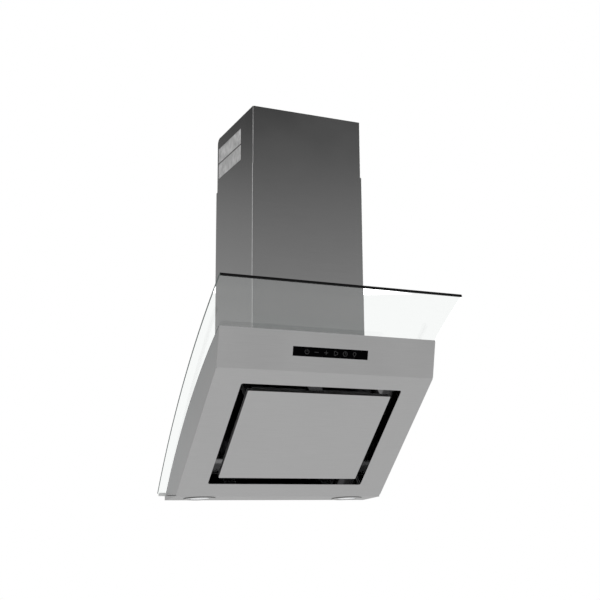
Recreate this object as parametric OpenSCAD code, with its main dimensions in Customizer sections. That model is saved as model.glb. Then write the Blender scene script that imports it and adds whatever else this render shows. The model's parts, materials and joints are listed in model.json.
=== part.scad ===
// Inclined wall hood with a curved glass canopy behind its steel body.
// Frame: X to the right, Y back to the wall at y = 0, Z up from the bottom edge.
// Lengths are millimetres, angles are degrees.

/* [Body] */
// Width of the steel body across its cheeks
body_w = 545; // [520:5:560]
// Height of the front top edge over the bottom
body_h = 370; // [355:5:385]
// Reach of the front top edge from the wall
body_reach = 390; // [375:5:405]
// Length of the front face along its slope
face_l = 91; // [84:1:98]
// Lean of the front face out of upright
face_lean = 10.5; // [7:0.5:14]
// Depth of the lamp facet from the wall to its fold
facet_d = 90; // [87:1:95]
// Height of the facet's fold over the bottom
facet_rise = 8; // [5:1:9]
// Bulge of the curved back beyond its chord
back_bulge = 30; // [26:1:34]
// Thickness of the body's sheet
sheet_t = 1.2; // [0.8:0.1:1.5]
// Height of the bottom rail
rail_h = 10; // [9:0.5:12]
// Shadow gap between the rail and the cheeks
shadow_gap = 3; // [2:0.5:4]

/* [Glass] */
// Width of the glass along its top edge
glass_w = 600; // [590:5:620]
// Width of the glass at its foot
glass_foot_w = 584; // [575:1:590]
// Thickness of the glass
glass_t = 6; // [5:0.5:8]
// Reach of the glass past the body's front top edge
glass_over = 81; // [70:1:95]
// Rise of the glass over the body's front top edge
glass_rise = 94; // [85:1:105]
// Gap between the glass and the back of the body at the foot
glass_gap = 2; // [1.8:0.1:3]
// Clearance of the notch round the air box
notch_gap = 3; // [2:0.5:6]

/* [Chimney] */
// Width of the lower chimney cover
chimney_w = 296.4; // [290:0.2:305]
// Depth of the lower chimney cover
chimney_d = 263.5; // [262:0.5:270]
// Height of the lower cover's top edge
step_z = 798; // [780:2:820]
// Height of the upper cover's top edge at rest
chimney_top = 947; // [935:1:960]
// Length of the upper cover
upper_l = 400; // [390:5:410]
// Thickness of the chimney sheet
chimney_t = 1; // [0.8:0.1:1.2]
// Side clearance between the two covers
slide_side_gap = 1; // [0.5:0.1:1.5]
// Front and back clearance between the two covers
slide_front_gap = 1.2; // [0.5:0.1:1.5]
// Width of the covers' back returns
return_w = 12; // [8:0.5:12]

/* [Intake] */
// Width of the intake opening
open_w = 406; // [390:2:420]
// Height of the intake opening along the slope
open_h = 310; // [300:2:320]
// Air gap at each side of the perimeter panel
panel_side_gap = 21.5; // [16:0.5:26]
// Air gap above and below the perimeter panel
panel_end_gap = 20; // [16:0.5:24]
// Depth of the perimeter panel's folded edge
panel_d = 10; // [8:0.5:12]
// Depth of the intake frame behind the slope
pan_d = 38; // [36:0.5:42]
// Margin of the intake frame's floor beside the grease filter
filter_side = 48; // [46:1:55]
// Margin of the intake frame's floor above and below the grease filter
filter_end = 45; // [44:1:50]
// Thickness of the grease filter
filter_t = 9; // [7:0.5:10]

/* [Controls] */
// Width of the touch glass
touch_w = 189; // [180:1:200]
// Height of the touch glass
touch_h = 21.6; // [18:0.2:26]
// Spacing of the touch keys
key_pitch = 24; // [20:0.5:26]

/* [Lamps] */
// Distance of each lamp from the middle of the body
lamp_x = 199.5; // [180:0.5:210]
// Distance of the lamps from the wall along the facet
lamp_y = 47.8; // [46:0.2:50]
// Outer radius of the lamp rim
rim_r = 39; // [36:0.5:40]
// Radius of the bright lens
lens_r = 24; // [20:0.5:26]

/* [Air box] */
// Room between the air box and the chimney cover at each side
side_room = 17.2; // [16:0.2:22]
// Room between the air box and the chimney cover at the front
front_room = 22.5; // [20:0.5:26]
// Height of the air box's top
box_top = 560; // [545:1:575]
// Thickness of the air box's sheet
box_t = 1; // [0.8:0.1:1.5]
// Spacing of the wall fixing holes
hang_w = 180; // [160:5:200]
// Height of the keyholes over the bottom
hang_z = 500; // [480:5:510]
// Height of the lower fixing holes over the bottom
fix_z = 120; // [100:5:150]

/* [Blower] */
// Outer radius of the blower wheel
wheel_r = 70; // [64:1:72]
// Width of the blower wheel
wheel_w = 80; // [70:1:84]
// Number of blades round the wheel
blade_count = 32; // [24:1:36]
// Room between the scroll and the air box's back
back_room = 5; // [3:0.5:8]
// Height of the blower's axis
blower_z = 400; // [390:1:410]
// Growth of the scroll's radius over its sweep
scroll_growth = 24; // [20:1:26]
// Radius of the motor's can
motor_r = 44; // [38:1:48]

/* [Outlet] */
// Outer radius of the outlet collar
collar_r = 75; // [70:0.5:76]
// Height of the outlet collar over the air box
collar_h = 55; // [50:1:70]
// Opening angle of the damper flaps, limited by their stops
flap_open = 75; // [60:1:75]

/* [Hidden] */

// Sides of small circles and of the large arcs, which stay true curves
$fn = 64;
arc_fn = 1440;
// Overrun that takes a cut clear of both faces
cut = 2;
// Clearance between pieces that only pass each other
pass_gap = 0.3;
// Radial running clearance of a pin in its bore
run_gap = 0.05;
// Height and width that reach past the whole model
whole_l = 2 * (chimney_top + glass_w);

// The air box stands inside the chimney cover, and the panel and filter in the opening
box_w = chimney_w - 2 * (chimney_t + side_room);
box_d = chimney_d - chimney_t - front_room;
panel_w = open_w - 2 * panel_side_gap;
panel_h = open_h - 2 * panel_end_gap;
filter_w = open_w - 2 * filter_side;
filter_h = open_h - 2 * filter_end;

function unit(v) = v / norm(v);
function left_of(v) = [-v[1], v[0]];
function right_of(v) = [v[1], -v[0]];

// Inner point of a fold at b on the path a, b, c, for a sheet of thickness t
function fold_point(a, b, c, t) =
  let (n1 = left_of(unit(b - a)), n2 = left_of(unit(c - b)))
  b + t * (n1 + n2) / (1 + n1 * n2);

function inner_path(p, t) =
  let (n = len(p) - 1)
  [for (i = [0:n])
    i == 0 ? p[0] + t * left_of(unit(p[1] - p[0]))
    : i == n ? p[n] + t * left_of(unit(p[n] - p[n - 1]))
    : fold_point(p[i - 1], p[i], p[i + 1], t)];

// Outline of a sheet of thickness t folded along the path p, to the left of it
module folded(p, t) {
  q = inner_path(p, t);
  polygon(concat(p, [for (i = [len(q) - 1:-1:0]) q[i]]));
}

// Rectangle about the origin with round corners
module round_plate(w, h, r) {
  square([w - 2 * r, h], center = true);
  square([w, h - 2 * r], center = true);
  for (sx = [-1, 1], sy = [-1, 1]) {
    translate([sx * (w / 2 - r), sy * (h / 2 - r)]) circle(r);
  }
}

// A side outline in y and z, drawn out along X about the place x
module across(w, x = 0) {
  translate([x - w / 2, 0, 0]) rotate([90, 0, 90]) linear_extrude(w) children();
}

// Puts children at x and at -x
module pair(x) {
  for (s = [-1, 1]) translate([s * x, 0, 0]) children();
}

module tube(r_out, r_in, h) {
  difference() {
    cylinder(h = h, r = r_out);
    translate([0, 0, -cut]) cylinder(h = h + 2 * cut, r = r_in);
  }
}

// Side profile of the body, as points in y and z
p_top = [-body_reach, body_h];
p_fold = p_top + face_l * [sin(face_lean), -cos(face_lean)];
p_low = [-facet_d, facet_rise];
p_wall = [0, 0];
slope_l = norm(p_fold - p_low);
slope_a = atan2(p_fold[1] - p_low[1], p_fold[0] - p_low[0]);
face_a = 90 + face_lean;
facet_a = atan2(facet_rise, -facet_d);
gap_top = rail_h + shadow_gap;
inner_w = body_w - 2 * sheet_t;
ledge_d = 9;

// The curved back is an arc from the wall to the front top edge
back_chord = norm(p_top);
back_r = (back_chord * back_chord / 4 + back_bulge * back_bulge) / (2 * back_bulge);
back_c = p_top / 2 - (back_r - back_bulge) * right_of(unit(p_top));
function back_y(z) = back_c[0] + sqrt(back_r * back_r - (z - back_c[1]) * (z - back_c[1]));
function back_a(y) = acos((y - back_c[0]) / back_r);

// The glass leaves the back's foot in the same direction, on a larger radius
foot_n = unit([back_y(gap_top), gap_top] - back_c);
glass_foot = back_c + (back_r + glass_gap) * foot_n;
glass_head = p_top + [-glass_over, glass_rise];
glass_d = glass_head - glass_foot;
glass_r = -(glass_d * glass_d) / (2 * (glass_d * foot_n));
glass_c = glass_foot - glass_r * foot_n;
glass_a0 = atan2(foot_n[1], foot_n[0]);
glass_a1 = atan2(glass_head[1] - glass_c[1], glass_head[0] - glass_c[0]);
function glass_a(share) = glass_a0 + share * (glass_a1 - glass_a0);
// Gap under the glass along its own normal, at the angle a
function glass_lift(a) =
  let (n = [cos(a), sin(a)], v = glass_c + glass_r * n - back_c, k = v * n)
  k - sqrt(k * k - v * v + back_r * back_r);

module disc(c, r) {
  translate(c) circle(r, $fn = arc_fn);
}

module ring(c, r_in, r_out) {
  difference() {
    disc(c, r_out);
    disc(c, r_in);
  }
}

module below(z) {
  translate([-whole_l, -whole_l]) square([2 * whole_l, whole_l + z]);
}

module body_section() {
  intersection() {
    disc(back_c, back_r);
    polygon([p_top, p_fold, p_low, p_wall, [0, body_h]]);
  }
}

module glass_section() {
  far = 2 * glass_r;
  intersection() {
    ring(glass_c, glass_r, glass_r + glass_t);
    polygon([glass_c, glass_c + far * [cos(glass_a0), sin(glass_a0)],
      glass_c + far * [cos(glass_a1), sin(glass_a1)]]);
  }
}

// Frames on the body's faces: local z points out of the face
module on_slope() {
  translate([0, p_low[0], p_low[1]]) rotate([slope_a, 0, 0]) translate([0, slope_l / 2, 0]) children();
}

module on_face() {
  translate([0, p_fold[0], p_fold[1]]) rotate([face_a, 0, 0]) translate([0, face_l / 2, 0]) children();
}

module on_facet() {
  rotate([facet_a, 0, 0]) children();
}

// Frame on the back's surface at the depth y, with z out of the body
module on_back(y) {
  a = back_a(y);
  translate([0, back_c[0] + back_r * cos(a), back_c[1] + back_r * sin(a)]) rotate([a - 90, 0, 0]) children();
}

// Frame on the glass's underside at the angle a, with z out through the glass
module on_glass(a) {
  translate([0, glass_c[0] + glass_r * cos(a), glass_c[1] + glass_r * sin(a)])
    rotate([a - 90, 0, 0]) children();
}

// Fixings of the glass: places along its arc, and sizes
glass_fix_shares = [0.12, 0.7];
glass_fix_x = 200;
glass_screw_r = 3;
glass_screw_gap = 0.2;
glass_hole_gap = 1;
spacer_r = 9;
spacer_reach = 60;
spacer_seat = 0.1;
washer_r = 11;
washer_t = 2;
dome_r = 8;
dome_h = 4;
nut_r = 6;
nut_h = 8;
screw_tip = 2;

// Fixings of the body to the air box, on the side flanges
box_flange = 11;
body_screw_shares = [0.18, 0.54, 0.92];
body_screw_r = 2;
body_head_r = 4;
body_head_h = 2.4;
body_screw_x = box_w / 2 - box_t - box_flange / 2;
screw_gap = 0.1;

// Air opening in the curved back, inside the air box's flange
air_edge = 3;
air_w = box_w - 2 * (box_t + box_flange + air_edge);
air_y0 = 30;
air_y1 = box_d - box_t - box_flange - air_edge;

// Relief notch at the corner of the cheek and the two front folds
notch_r = 1.6;

module at_glass_fixings() {
  for (share = glass_fix_shares) {
    pair(glass_fix_x) on_glass(glass_a(share)) children();
  }
}

module at_body_screws() {
  for (share = body_screw_shares) {
    pair(body_screw_x) on_back(-share * box_d) children();
  }
}

fascia_path = [p_top, p_fold, p_low, p_wall, [0, rail_h], [-ledge_d, rail_h]];

module casing() {
  color("#b4b6b6") difference() {
    union() {
      pair((body_w - sheet_t) / 2) across(sheet_t) difference() {
        body_section();
        below(gap_top);
      }
      across(inner_w) difference() {
        intersection() {
          body_section();
          ring(back_c, back_r - sheet_t, back_r);
        }
        folded(fascia_path, sheet_t);
        below(gap_top);
      }
    }
    pair(body_w / 2) translate([-2 * sheet_t, p_fold[0], p_fold[1]])
      rotate([0, 90, 0]) cylinder(h = 4 * sheet_t, r = notch_r);
    translate([-air_w / 2, -air_y1, 0]) cube([air_w, air_y1 - air_y0, body_h]);
    at_glass_fixings() translate([0, 0, -spacer_reach])
      cylinder(h = spacer_reach, r = glass_screw_r + glass_screw_gap);
    at_body_screws() translate([0, 0, -2 * sheet_t]) cylinder(h = 4 * sheet_t, r = body_screw_r + screw_gap);
  }
}

// Rounding of the intake opening's corners
open_r = 5;

// Hole in the facet behind each lamp's rim
rim_seat = 3;
barrel_r = rim_r - rim_seat;
barrel_gap = 0.2;

module at_lamp(side) {
  translate([side * lamp_x, 0, 0]) on_facet() translate([0, lamp_y, 0]) children();
}

touch_gap = 0.2;

module fascia() {
  color("#b9bbbb") difference() {
    union() {
      across(inner_w) folded(fascia_path, sheet_t);
      across(body_w) intersection() {
        folded(fascia_path, sheet_t);
        below(rail_h);
      }
      pair((body_w - sheet_t) / 2) across(sheet_t) intersection() {
        body_section();
        below(rail_h);
      }
    }
    on_slope() translate([0, 0, -2 * sheet_t]) linear_extrude(4 * sheet_t)
      round_plate(open_w, open_h, open_r);
    on_face() translate([0, 0, -2 * sheet_t]) linear_extrude(4 * sheet_t)
      square([touch_w + 2 * touch_gap, touch_h + 2 * touch_gap], center = true);
    for (side = [-1, 1]) {
      at_lamp(side) translate([0, 0, -2 * sheet_t]) cylinder(h = 4 * sheet_t, r = barrel_r + barrel_gap);
    }
  }
}

// Intake frame: a tray with a flange behind the slope and a floor that holds the filter
pan_t = 1.2;
pan_set = 1;
pan_flange = 14;
pan_r = open_r + pan_set;
filter_lap = 6;
filter_r = 4;
floor_z = -pan_d + pan_t;
filter_z = floor_z + filter_t;
lip_x = 60;
lip_w = 30;
lip_over = 5;
lip_t = 1.2;

// Latch of the filter: a sliding bolt under a fixed keeper
latch_w = 50;
latch_l = 20;
latch_h = 6;
latch_travel = 6.5;
bolt_w = 30;
bolt_t = 2;
bolt_reach = 14;
latch_pad_l = 40;
latch_inset = 4;
guide_w = 3;
keeper_w = 36;
latch_y = filter_h / 2 - latch_inset;
bolt_tip = latch_y + bolt_reach;
bolt_z = filter_z + pass_gap;
keeper_z = bolt_z + bolt_t + pass_gap;
keeper_back = bolt_tip + pass_gap;

module filter_opening() {
  round_plate(filter_w - 2 * filter_lap, filter_h - 2 * filter_lap, filter_r);
}

module intake_frame() {
  color("#2b2c2e") on_slope() difference() {
    union() {
      difference() {
        union() {
          translate([0, 0, -sheet_t - pan_t]) linear_extrude(pan_t)
            round_plate(open_w + 2 * pan_flange, open_h + 2 * pan_flange, pan_r);
          translate([0, 0, -pan_d]) linear_extrude(pan_d - sheet_t)
            round_plate(open_w + 2 * (pan_set + pan_t), open_h + 2 * (pan_set + pan_t), pan_r + pan_t);
        }
        translate([0, 0, floor_z]) linear_extrude(pan_d)
          round_plate(open_w + 2 * pan_set, open_h + 2 * pan_set, pan_r);
      }
      pair(lip_x) filter_lip();
      latch_keeper();
    }
    translate([0, 0, -pan_d - cut]) linear_extrude(pan_t + 2 * cut) filter_opening();
  }
}

module filter_lip() {
  lip_y = -filter_h / 2 - pass_gap;
  translate([-lip_w / 2, lip_y - lip_t, floor_z - pan_t / 2])
    cube([lip_w, lip_t, filter_t + pan_t / 2 + pass_gap + lip_t]);
  translate([-lip_w / 2, lip_y - lip_t, filter_z + pass_gap]) cube([lip_w, lip_t + lip_over, lip_t]);
}

module latch_keeper() {
  translate([-keeper_w / 2, keeper_back, floor_z - pan_t / 2])
    cube([keeper_w, lip_t, keeper_z + lip_t - floor_z + pan_t / 2]);
  translate([-keeper_w / 2, bolt_tip - latch_travel, keeper_z])
    cube([keeper_w, latch_travel + pass_gap + lip_t, lip_t]);
}

// Grease filter: an aluminium frame round a pack of mesh
frame_edge = 10;
frame_lip = 1;

module latch_pad() {
  translate([-latch_w / 2 - 2 * guide_w, filter_h / 2 - latch_pad_l])
    square([latch_w + 4 * guide_w, latch_pad_l]);
}

module mesh_outline(grow) {
  difference() {
    square([filter_w - 2 * frame_edge + 2 * grow, filter_h - 2 * frame_edge + 2 * grow], center = true);
    latch_pad();
  }
}

module mesh_pack() {
  translate([0, 0, floor_z + frame_lip]) linear_extrude(filter_t - 2 * frame_lip)
    mesh_outline(frame_edge / 2);
}

module filter_frame() {
  color("#a9acae") on_slope() {
    difference() {
      translate([0, 0, floor_z]) linear_extrude(filter_t) round_plate(filter_w, filter_h, filter_r);
      translate([0, 0, floor_z - cut]) linear_extrude(filter_t + 2 * cut) mesh_outline(0);
      mesh_pack();
    }
    pair(latch_w / 2 + pass_gap + guide_w / 2)
      translate([-guide_w / 2, filter_h / 2 - latch_pad_l, filter_z])
      cube([guide_w, latch_pad_l - frame_lip, latch_h]);
  }
}

module filter_mesh() {
  color("#8f9496") on_slope() mesh_pack();
}

// Finger recess of the latch
grip_r = 6;

module filter_latch() {
  color("#3a3c3f") on_slope() difference() {
    union() {
      translate([-latch_w / 2, latch_y - latch_l, bolt_z]) cube([latch_w, latch_l, latch_h]);
      translate([-bolt_w / 2, latch_y - latch_l / 2, bolt_z])
        cube([bolt_w, latch_l / 2 + bolt_reach, bolt_t]);
    }
    translate([-latch_w / 4, latch_y - latch_l / 2, bolt_z + latch_h + grip_r / 2])
      rotate([0, 90, 0]) cylinder(h = latch_w / 2, r = grip_r);
  }
}

// Perimeter panel: a folded tray flush with the slope
panel_t = 1;
panel_r = 3;

module intake_panel() {
  color("#bcbebe") on_slope() difference() {
    translate([0, 0, -panel_d]) linear_extrude(panel_d) round_plate(panel_w, panel_h, panel_r);
    translate([0, 0, -panel_d - cut]) linear_extrude(panel_d - panel_t + cut)
      round_plate(panel_w - 2 * panel_t, panel_h - 2 * panel_t, panel_r - panel_t);
  }
}

// Hinge of the panel along its lower edge
hinge_x = 130;
hinge_w = 30;
hinge_in = 12;
hinge_d = 14;
hinge_r = 4;
hinge_pin_r = 2;
lug_t = 2;
leaf_gap = 0.4;
leaf_t = 5;
base_l = 18;
base_t = 1.2;
rivet_h = 1;
hinge_y = -panel_h / 2 + hinge_in;
leaf_w = hinge_w - 2 * lug_t - 2 * leaf_gap;
leaf_plate_l = 22;
leaf_plate_t = 1.5;

module at_hinge() {
  on_slope() pair(hinge_x) translate([0, hinge_y, 0]) children();
}

module hinge_brackets() {
  color("#6d7073") at_hinge() difference() {
    union() {
      translate([-hinge_w / 2, -hinge_r - hinge_r, floor_z]) cube([hinge_w, base_l, base_t]);
      for (s = [-1, 1]) {
        translate([s * (hinge_w - lug_t) / 2 - lug_t / 2, 0, 0]) {
          translate([0, -hinge_r, floor_z]) cube([lug_t, 2 * hinge_r, -floor_z - hinge_d]);
          translate([0, 0, -hinge_d]) rotate([0, 90, 0]) cylinder(h = lug_t, r = hinge_r);
        }
      }
    }
    translate([-hinge_w, 0, -hinge_d]) rotate([0, 90, 0]) cylinder(h = 2 * hinge_w, r = hinge_pin_r);
  }
}

module hinge_pins() {
  color("#c9cbcc") at_hinge() {
    translate([-hinge_w / 2, 0, -hinge_d]) rotate([0, 90, 0]) cylinder(h = hinge_w, r = hinge_pin_r);
    for (s = [-1, 1]) {
      translate([s * (hinge_w + rivet_h) / 2 - rivet_h / 2, 0, -hinge_d])
        rotate([0, 90, 0]) cylinder(h = rivet_h, r = hinge_pin_r + rivet_h);
    }
  }
}

module panel_leaves() {
  color("#7c7f82") at_hinge() difference() {
    union() {
      translate([-leaf_w / 2, -leaf_t / 2, -hinge_d]) cube([leaf_w, leaf_t, hinge_d - panel_t]);
      translate([-leaf_w / 2, 0, -hinge_d]) rotate([0, 90, 0]) cylinder(h = leaf_w, r = hinge_r);
      translate([-leaf_w / 2, -leaf_t / 2, -panel_t - leaf_plate_t])
        cube([leaf_w, leaf_plate_l, leaf_plate_t]);
    }
    translate([-hinge_w, 0, -hinge_d]) rotate([0, 90, 0])
      cylinder(h = 2 * hinge_w, r = hinge_pin_r + run_gap);
  }
}

// Snap studs on the panel and their keepers on the frame's floor
stud_x = 168;
stud_in = 30;
stud_r = 3;
stud_base_r = 8;
stud_base_t = 2;
stud_d = 26;
stud_gap = 0.5;
keeper_l = 14;
keeper_d = 17;
stud_y = panel_h / 2 - stud_in;

module panel_studs() {
  color("#c9cbcc") on_slope() pair(stud_x) translate([0, stud_y, 0]) {
    translate([0, 0, -stud_d]) cylinder(h = stud_d - panel_t, r = stud_r);
    translate([0, 0, -panel_t - stud_base_t]) cylinder(h = stud_base_t, r = stud_base_r);
  }
}

module catch_keepers() {
  color("#232426") on_slope() pair(stud_x) translate([0, stud_y, floor_z]) difference() {
    translate([-keeper_l / 2, -keeper_l / 2, 0]) cube([keeper_l, keeper_l, keeper_d]);
    translate([0, 0, keeper_d / 4]) cylinder(h = keeper_d, r = stud_r + stud_gap);
  }
}

// Touch control: glass in the front face, with its housing, board and sensor pads behind
touch_t = 3;
touch_proud = 0.2;
housing_wall = 2;
housing_rim = 4;
housing_d = 17;
board_t = 1.6;
board_gap = 0.4;
pad_r = 5;
pad_h = 6;
key_count = 6;
touch_back = touch_proud - touch_t;
board_z = touch_back - pad_h;

module touch_glass() {
  color("#0b0c0e") on_face() translate([0, 0, touch_back]) linear_extrude(touch_t)
    square([touch_w, touch_h], center = true);
}

module control_housing() {
  pocket_w = touch_w - 2 * housing_wall;
  pocket_h = touch_h - 2 * housing_wall;
  color("#1f2022") on_face() difference() {
    translate([0, 0, -sheet_t - housing_d]) linear_extrude(housing_d)
      square([touch_w + 2 * housing_rim, touch_h + 2 * housing_rim], center = true);
    translate([0, 0, touch_back]) linear_extrude(touch_t + cut)
      square([touch_w + 2 * touch_gap, touch_h + 2 * touch_gap], center = true);
    translate([0, 0, board_z]) linear_extrude(pad_h + cut) square([pocket_w, pocket_h], center = true);
    translate([0, 0, -sheet_t - housing_d + housing_wall]) linear_extrude(housing_d)
      square([pocket_w - 2 * housing_wall, pocket_h - 2 * housing_wall], center = true);
    translate([0, 0, board_z - board_t]) linear_extrude(board_t + cut)
      square([pocket_w, pocket_h], center = true);
  }
}

module control_board() {
  inset = 2 * (housing_wall + board_gap);
  color("#1f5a3a") on_face() translate([0, 0, board_z - board_t]) linear_extrude(board_t)
    square([touch_w - inset, touch_h - inset], center = true);
}

module touch_pads() {
  color("#b98a3c") on_face() for (i = [0:key_count - 1]) {
    translate([(i - (key_count - 1) / 2) * key_pitch, 0, board_z]) cylinder(h = pad_h, r = pad_r);
  }
}

// Lamp: a rim with a barrel through the facet, a lens and an LED module with cooling fins
rim_t = 1.5;
barrel_t = 2.5;
barrel_d = 10;
lens_gap = 0.3;
lens_shoulder = 4;
lens_t = 3;
lens_proud = 1;
module_d = 9;
sink_r = 22;
sink_h = 12;
sink_base = 3;
fin_t = 1.5;
fin_count = 7;

module lamp_rim(side) {
  color("#d5d6d6") at_lamp(side) {
    difference() {
      union() {
        cylinder(h = rim_t, r = rim_r);
        translate([0, 0, -barrel_d]) tube(barrel_r, barrel_r - barrel_t, barrel_d + rim_t / 2);
      }
      translate([0, 0, -cut]) cylinder(h = rim_t + 2 * cut, r = lens_r + lens_gap);
    }
  }
}

module lamp_lens(side) {
  color("#f4f6f8") at_lamp(side) {
    cylinder(h = lens_proud, r = lens_r);
    translate([0, 0, -lens_t]) cylinder(h = lens_t, r = lens_r + lens_shoulder);
  }
}

module led_module(side) {
  color("#8c9094") at_lamp(side) {
    translate([0, 0, -lens_t - module_d]) cylinder(h = module_d, r = barrel_r - barrel_t);
    intersection() {
      translate([0, 0, -lens_t - module_d - sink_h]) cylinder(h = sink_h, r = sink_r);
      union() {
        translate([-sink_r, -sink_r, -lens_t - module_d - sink_base])
          cube([2 * sink_r, 2 * sink_r, sink_base]);
        for (i = [0:fin_count - 1]) {
          translate([(i - (fin_count - 1) / 2) * 2 * sink_r / fin_count - fin_t / 2, -sink_r,
            -lens_t - module_d - sink_h])
            cube([fin_t, 2 * sink_r, sink_h]);
        }
      }
    }
  }
}

module lamp_rim_left() { lamp_rim(-1); }
module lamp_rim_right() { lamp_rim(1); }
module lamp_lens_left() { lamp_lens(-1); }
module lamp_lens_right() { lamp_lens(1); }
module led_module_left() { led_module(-1); }
module led_module_right() { led_module(1); }

// Driver of the lamps, on the facet's inner side
driver_w = 110;
driver_l = 28;
driver_h = 18;
driver_y = 34;
driver_r = 3;

module led_driver() {
  color("#e6e6e2") on_facet() translate([0, driver_y + driver_l / 2, -sheet_t - driver_h])
    linear_extrude(driver_h) round_plate(driver_w, driver_l, driver_r);
}

module glass_outline() {
  half_foot = glass_foot_w / 2;
  spread = (glass_w - glass_foot_w) / 2 / glass_head[1];
  polygon([[-half_foot, 0], [half_foot, 0], [half_foot + spread * 2 * body_h, 2 * body_h],
    [-half_foot - spread * 2 * body_h, 2 * body_h]]);
}

module glass_canopy() {
  color("#dfeaec", 0.35) difference() {
    intersection() {
      across(glass_w) glass_section();
      rotate([90, 0, 0]) linear_extrude(whole_l) glass_outline();
    }
    translate([-box_w / 2 - notch_gap, -box_d - notch_gap, 0])
      cube([box_w + 2 * notch_gap, box_d + notch_gap, body_h]);
    at_glass_fixings() translate([0, 0, -cut])
      cylinder(h = glass_t + 2 * cut, r = glass_screw_r + glass_hole_gap);
  }
}

// Rubber channel that carries the glass's foot on the rail
seat_w = 12;
seat_h = 8;
seat_back = 0.3;

module glass_seats() {
  seat_l = glass_foot_w / 2 - box_w / 2 - 2 * notch_gap;
  color("#1b1c1d") pair(box_w / 2 + notch_gap + seat_l / 2) across(seat_l) difference() {
    translate([-seat_w, rail_h]) square([seat_w - seat_back, seat_h]);
    disc(back_c, back_r);
    glass_section();
  }
}

// Black seals along the back edges of the casing
seal_w = 8;
seal_t = 1.5;

module casing_seals() {
  color("#141516") pair((body_w - seal_w) / 2) across(seal_w) difference() {
    intersection() {
      ring(back_c, back_r, back_r + seal_t);
      translate([-body_reach, 0]) square([body_reach, body_h]);
    }
    below(rail_h + seat_h);
  }
}

module glass_spacers() {
  color("#c4c6c7") difference() {
    at_glass_fixings() translate([0, 0, -spacer_reach])
      tube(spacer_r, glass_screw_r + glass_screw_gap, spacer_reach - spacer_seat);
    across(body_w) disc(back_c, back_r);
  }
}

module glass_washers() {
  color("#17181a") at_glass_fixings() translate([0, 0, glass_t])
    tube(washer_r, glass_screw_r + glass_screw_gap, washer_t);
}

module glass_screws() {
  color("#cfd1d2") for (share = glass_fix_shares) {
    lift = glass_lift(glass_a(share));
    shank = lift + glass_t + washer_t + sheet_t + nut_h + screw_tip;
    pair(glass_fix_x) on_glass(glass_a(share)) {
      translate([0, 0, glass_t + washer_t - shank]) cylinder(h = shank, r = glass_screw_r);
      translate([0, 0, glass_t + washer_t]) cylinder(h = dome_h, r1 = dome_r, r2 = dome_r / 2);
    }
  }
}

module glass_nuts() {
  color("#9ea1a3") intersection() {
    for (share = glass_fix_shares) {
      lift = glass_lift(glass_a(share));
      pair(glass_fix_x) on_glass(glass_a(share)) translate([0, 0, -lift - sheet_t - nut_h])
        difference() {
          cylinder(h = nut_h + sheet_t, r = nut_r);
          translate([0, 0, -cut]) cylinder(h = nut_h + sheet_t + 2 * cut, r = glass_screw_r);
        }
    }
    across(body_w) disc(back_c, back_r - sheet_t);
  }
}

// Holes of the wall fixings: keyholes above, round holes below
key_r = 4.5;
fix_r = 2.75;
key_rise = 10;

module wall_hole(x, z, r) {
  translate([x, cut, z]) rotate([90, 0, 0]) cylinder(h = box_t + 2 * cut, r = r);
}

// Mouth of the scroll, and the collar over it
tongue_gap = 7;
tongue_a = 100;
scroll_sweep = 280;
scroll_t = 2;
scroll_side_gap = 6;
throat_y = 15;
mouth_margin = 22;
scroll_r0 = wheel_r + tongue_gap;
scroll_r1 = scroll_r0 + scroll_growth;
scroll_half = wheel_w / 2 + scroll_side_gap + scroll_t;
scroll_back_r = scroll_r0 + scroll_growth * tongue_a / scroll_sweep;
blower_y = box_t + back_room + scroll_back_r;
mouth_top = box_top - box_t;
collar_t = 2;
outlet_room = 6;
plate_lip = 1;
plate_hole_r = collar_r - collar_t - plate_lip;
collar_flange = 14;
collar_flange_lip = 4;
outlet_y = box_d - outlet_room - collar_flange_lip - collar_r;
collar_flange_t = 3;
collar_screw_x = 60;
collar_screw_r = 2;

module at_outlet() {
  translate([0, -outlet_y, box_top]) children();
}

module at_collar_screws() {
  at_outlet() for (sx = [-1, 1], sy = [-1, 1]) {
    translate([sx * collar_screw_x, sy * collar_screw_x, 0]) children();
  }
}

module air_box() {
  inner_x = box_w / 2 - box_t;
  color("#aeb2b5") difference() {
    union() {
      difference() {
        translate([-box_w / 2, -box_d, 0]) cube([box_w, box_d, box_top]);
        translate([-inner_x, -box_d + box_t, -cut])
          cube([2 * inner_x, box_d - 2 * box_t, box_top - box_t + cut]);
      }
      intersection() {
        across(box_w) ring(back_c, back_r, back_r + box_t);
        difference() {
          translate([-box_w / 2, -box_d, 0]) cube([box_w, box_d, body_h]);
          translate([-inner_x + box_flange, -box_d + box_t + box_flange, -cut])
            cube([2 * (inner_x - box_flange), box_d - 2 * (box_t + box_flange), body_h + 2 * cut]);
        }
      }
    }
    across(box_w + 2 * cut) {
      disc(back_c, back_r);
      below(gap_top);
    }
    for (s = [-1, 1]) {
      wall_hole(s * hang_w / 2, hang_z, key_r);
      wall_hole(s * hang_w / 2, hang_z + key_rise, fix_r);
      translate([s * hang_w / 2 - fix_r, -box_t - cut, hang_z]) cube([2 * fix_r, box_t + 2 * cut, key_rise]);
      wall_hole(s * hang_w / 2, fix_z, fix_r);
    }
    at_body_screws() translate([0, 0, -cut]) cylinder(h = box_t + 2 * cut, r = body_screw_r + screw_gap);
    at_outlet() translate([0, 0, -box_t - cut]) cylinder(h = box_t + 2 * cut, r = plate_hole_r);
    at_collar_screws() translate([0, 0, -box_t - cut])
      cylinder(h = box_t + 2 * cut, r = collar_screw_r + screw_gap);
  }
}

module body_screws() {
  color("#8a8d90") at_body_screws() {
    translate([0, 0, -sheet_t - body_head_h]) cylinder(h = body_head_h, r = body_head_r);
    translate([0, 0, -sheet_t - body_head_h / 2])
      cylinder(h = body_head_h / 2 + sheet_t + box_t + screw_tip, r = body_screw_r);
  }
}

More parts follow.
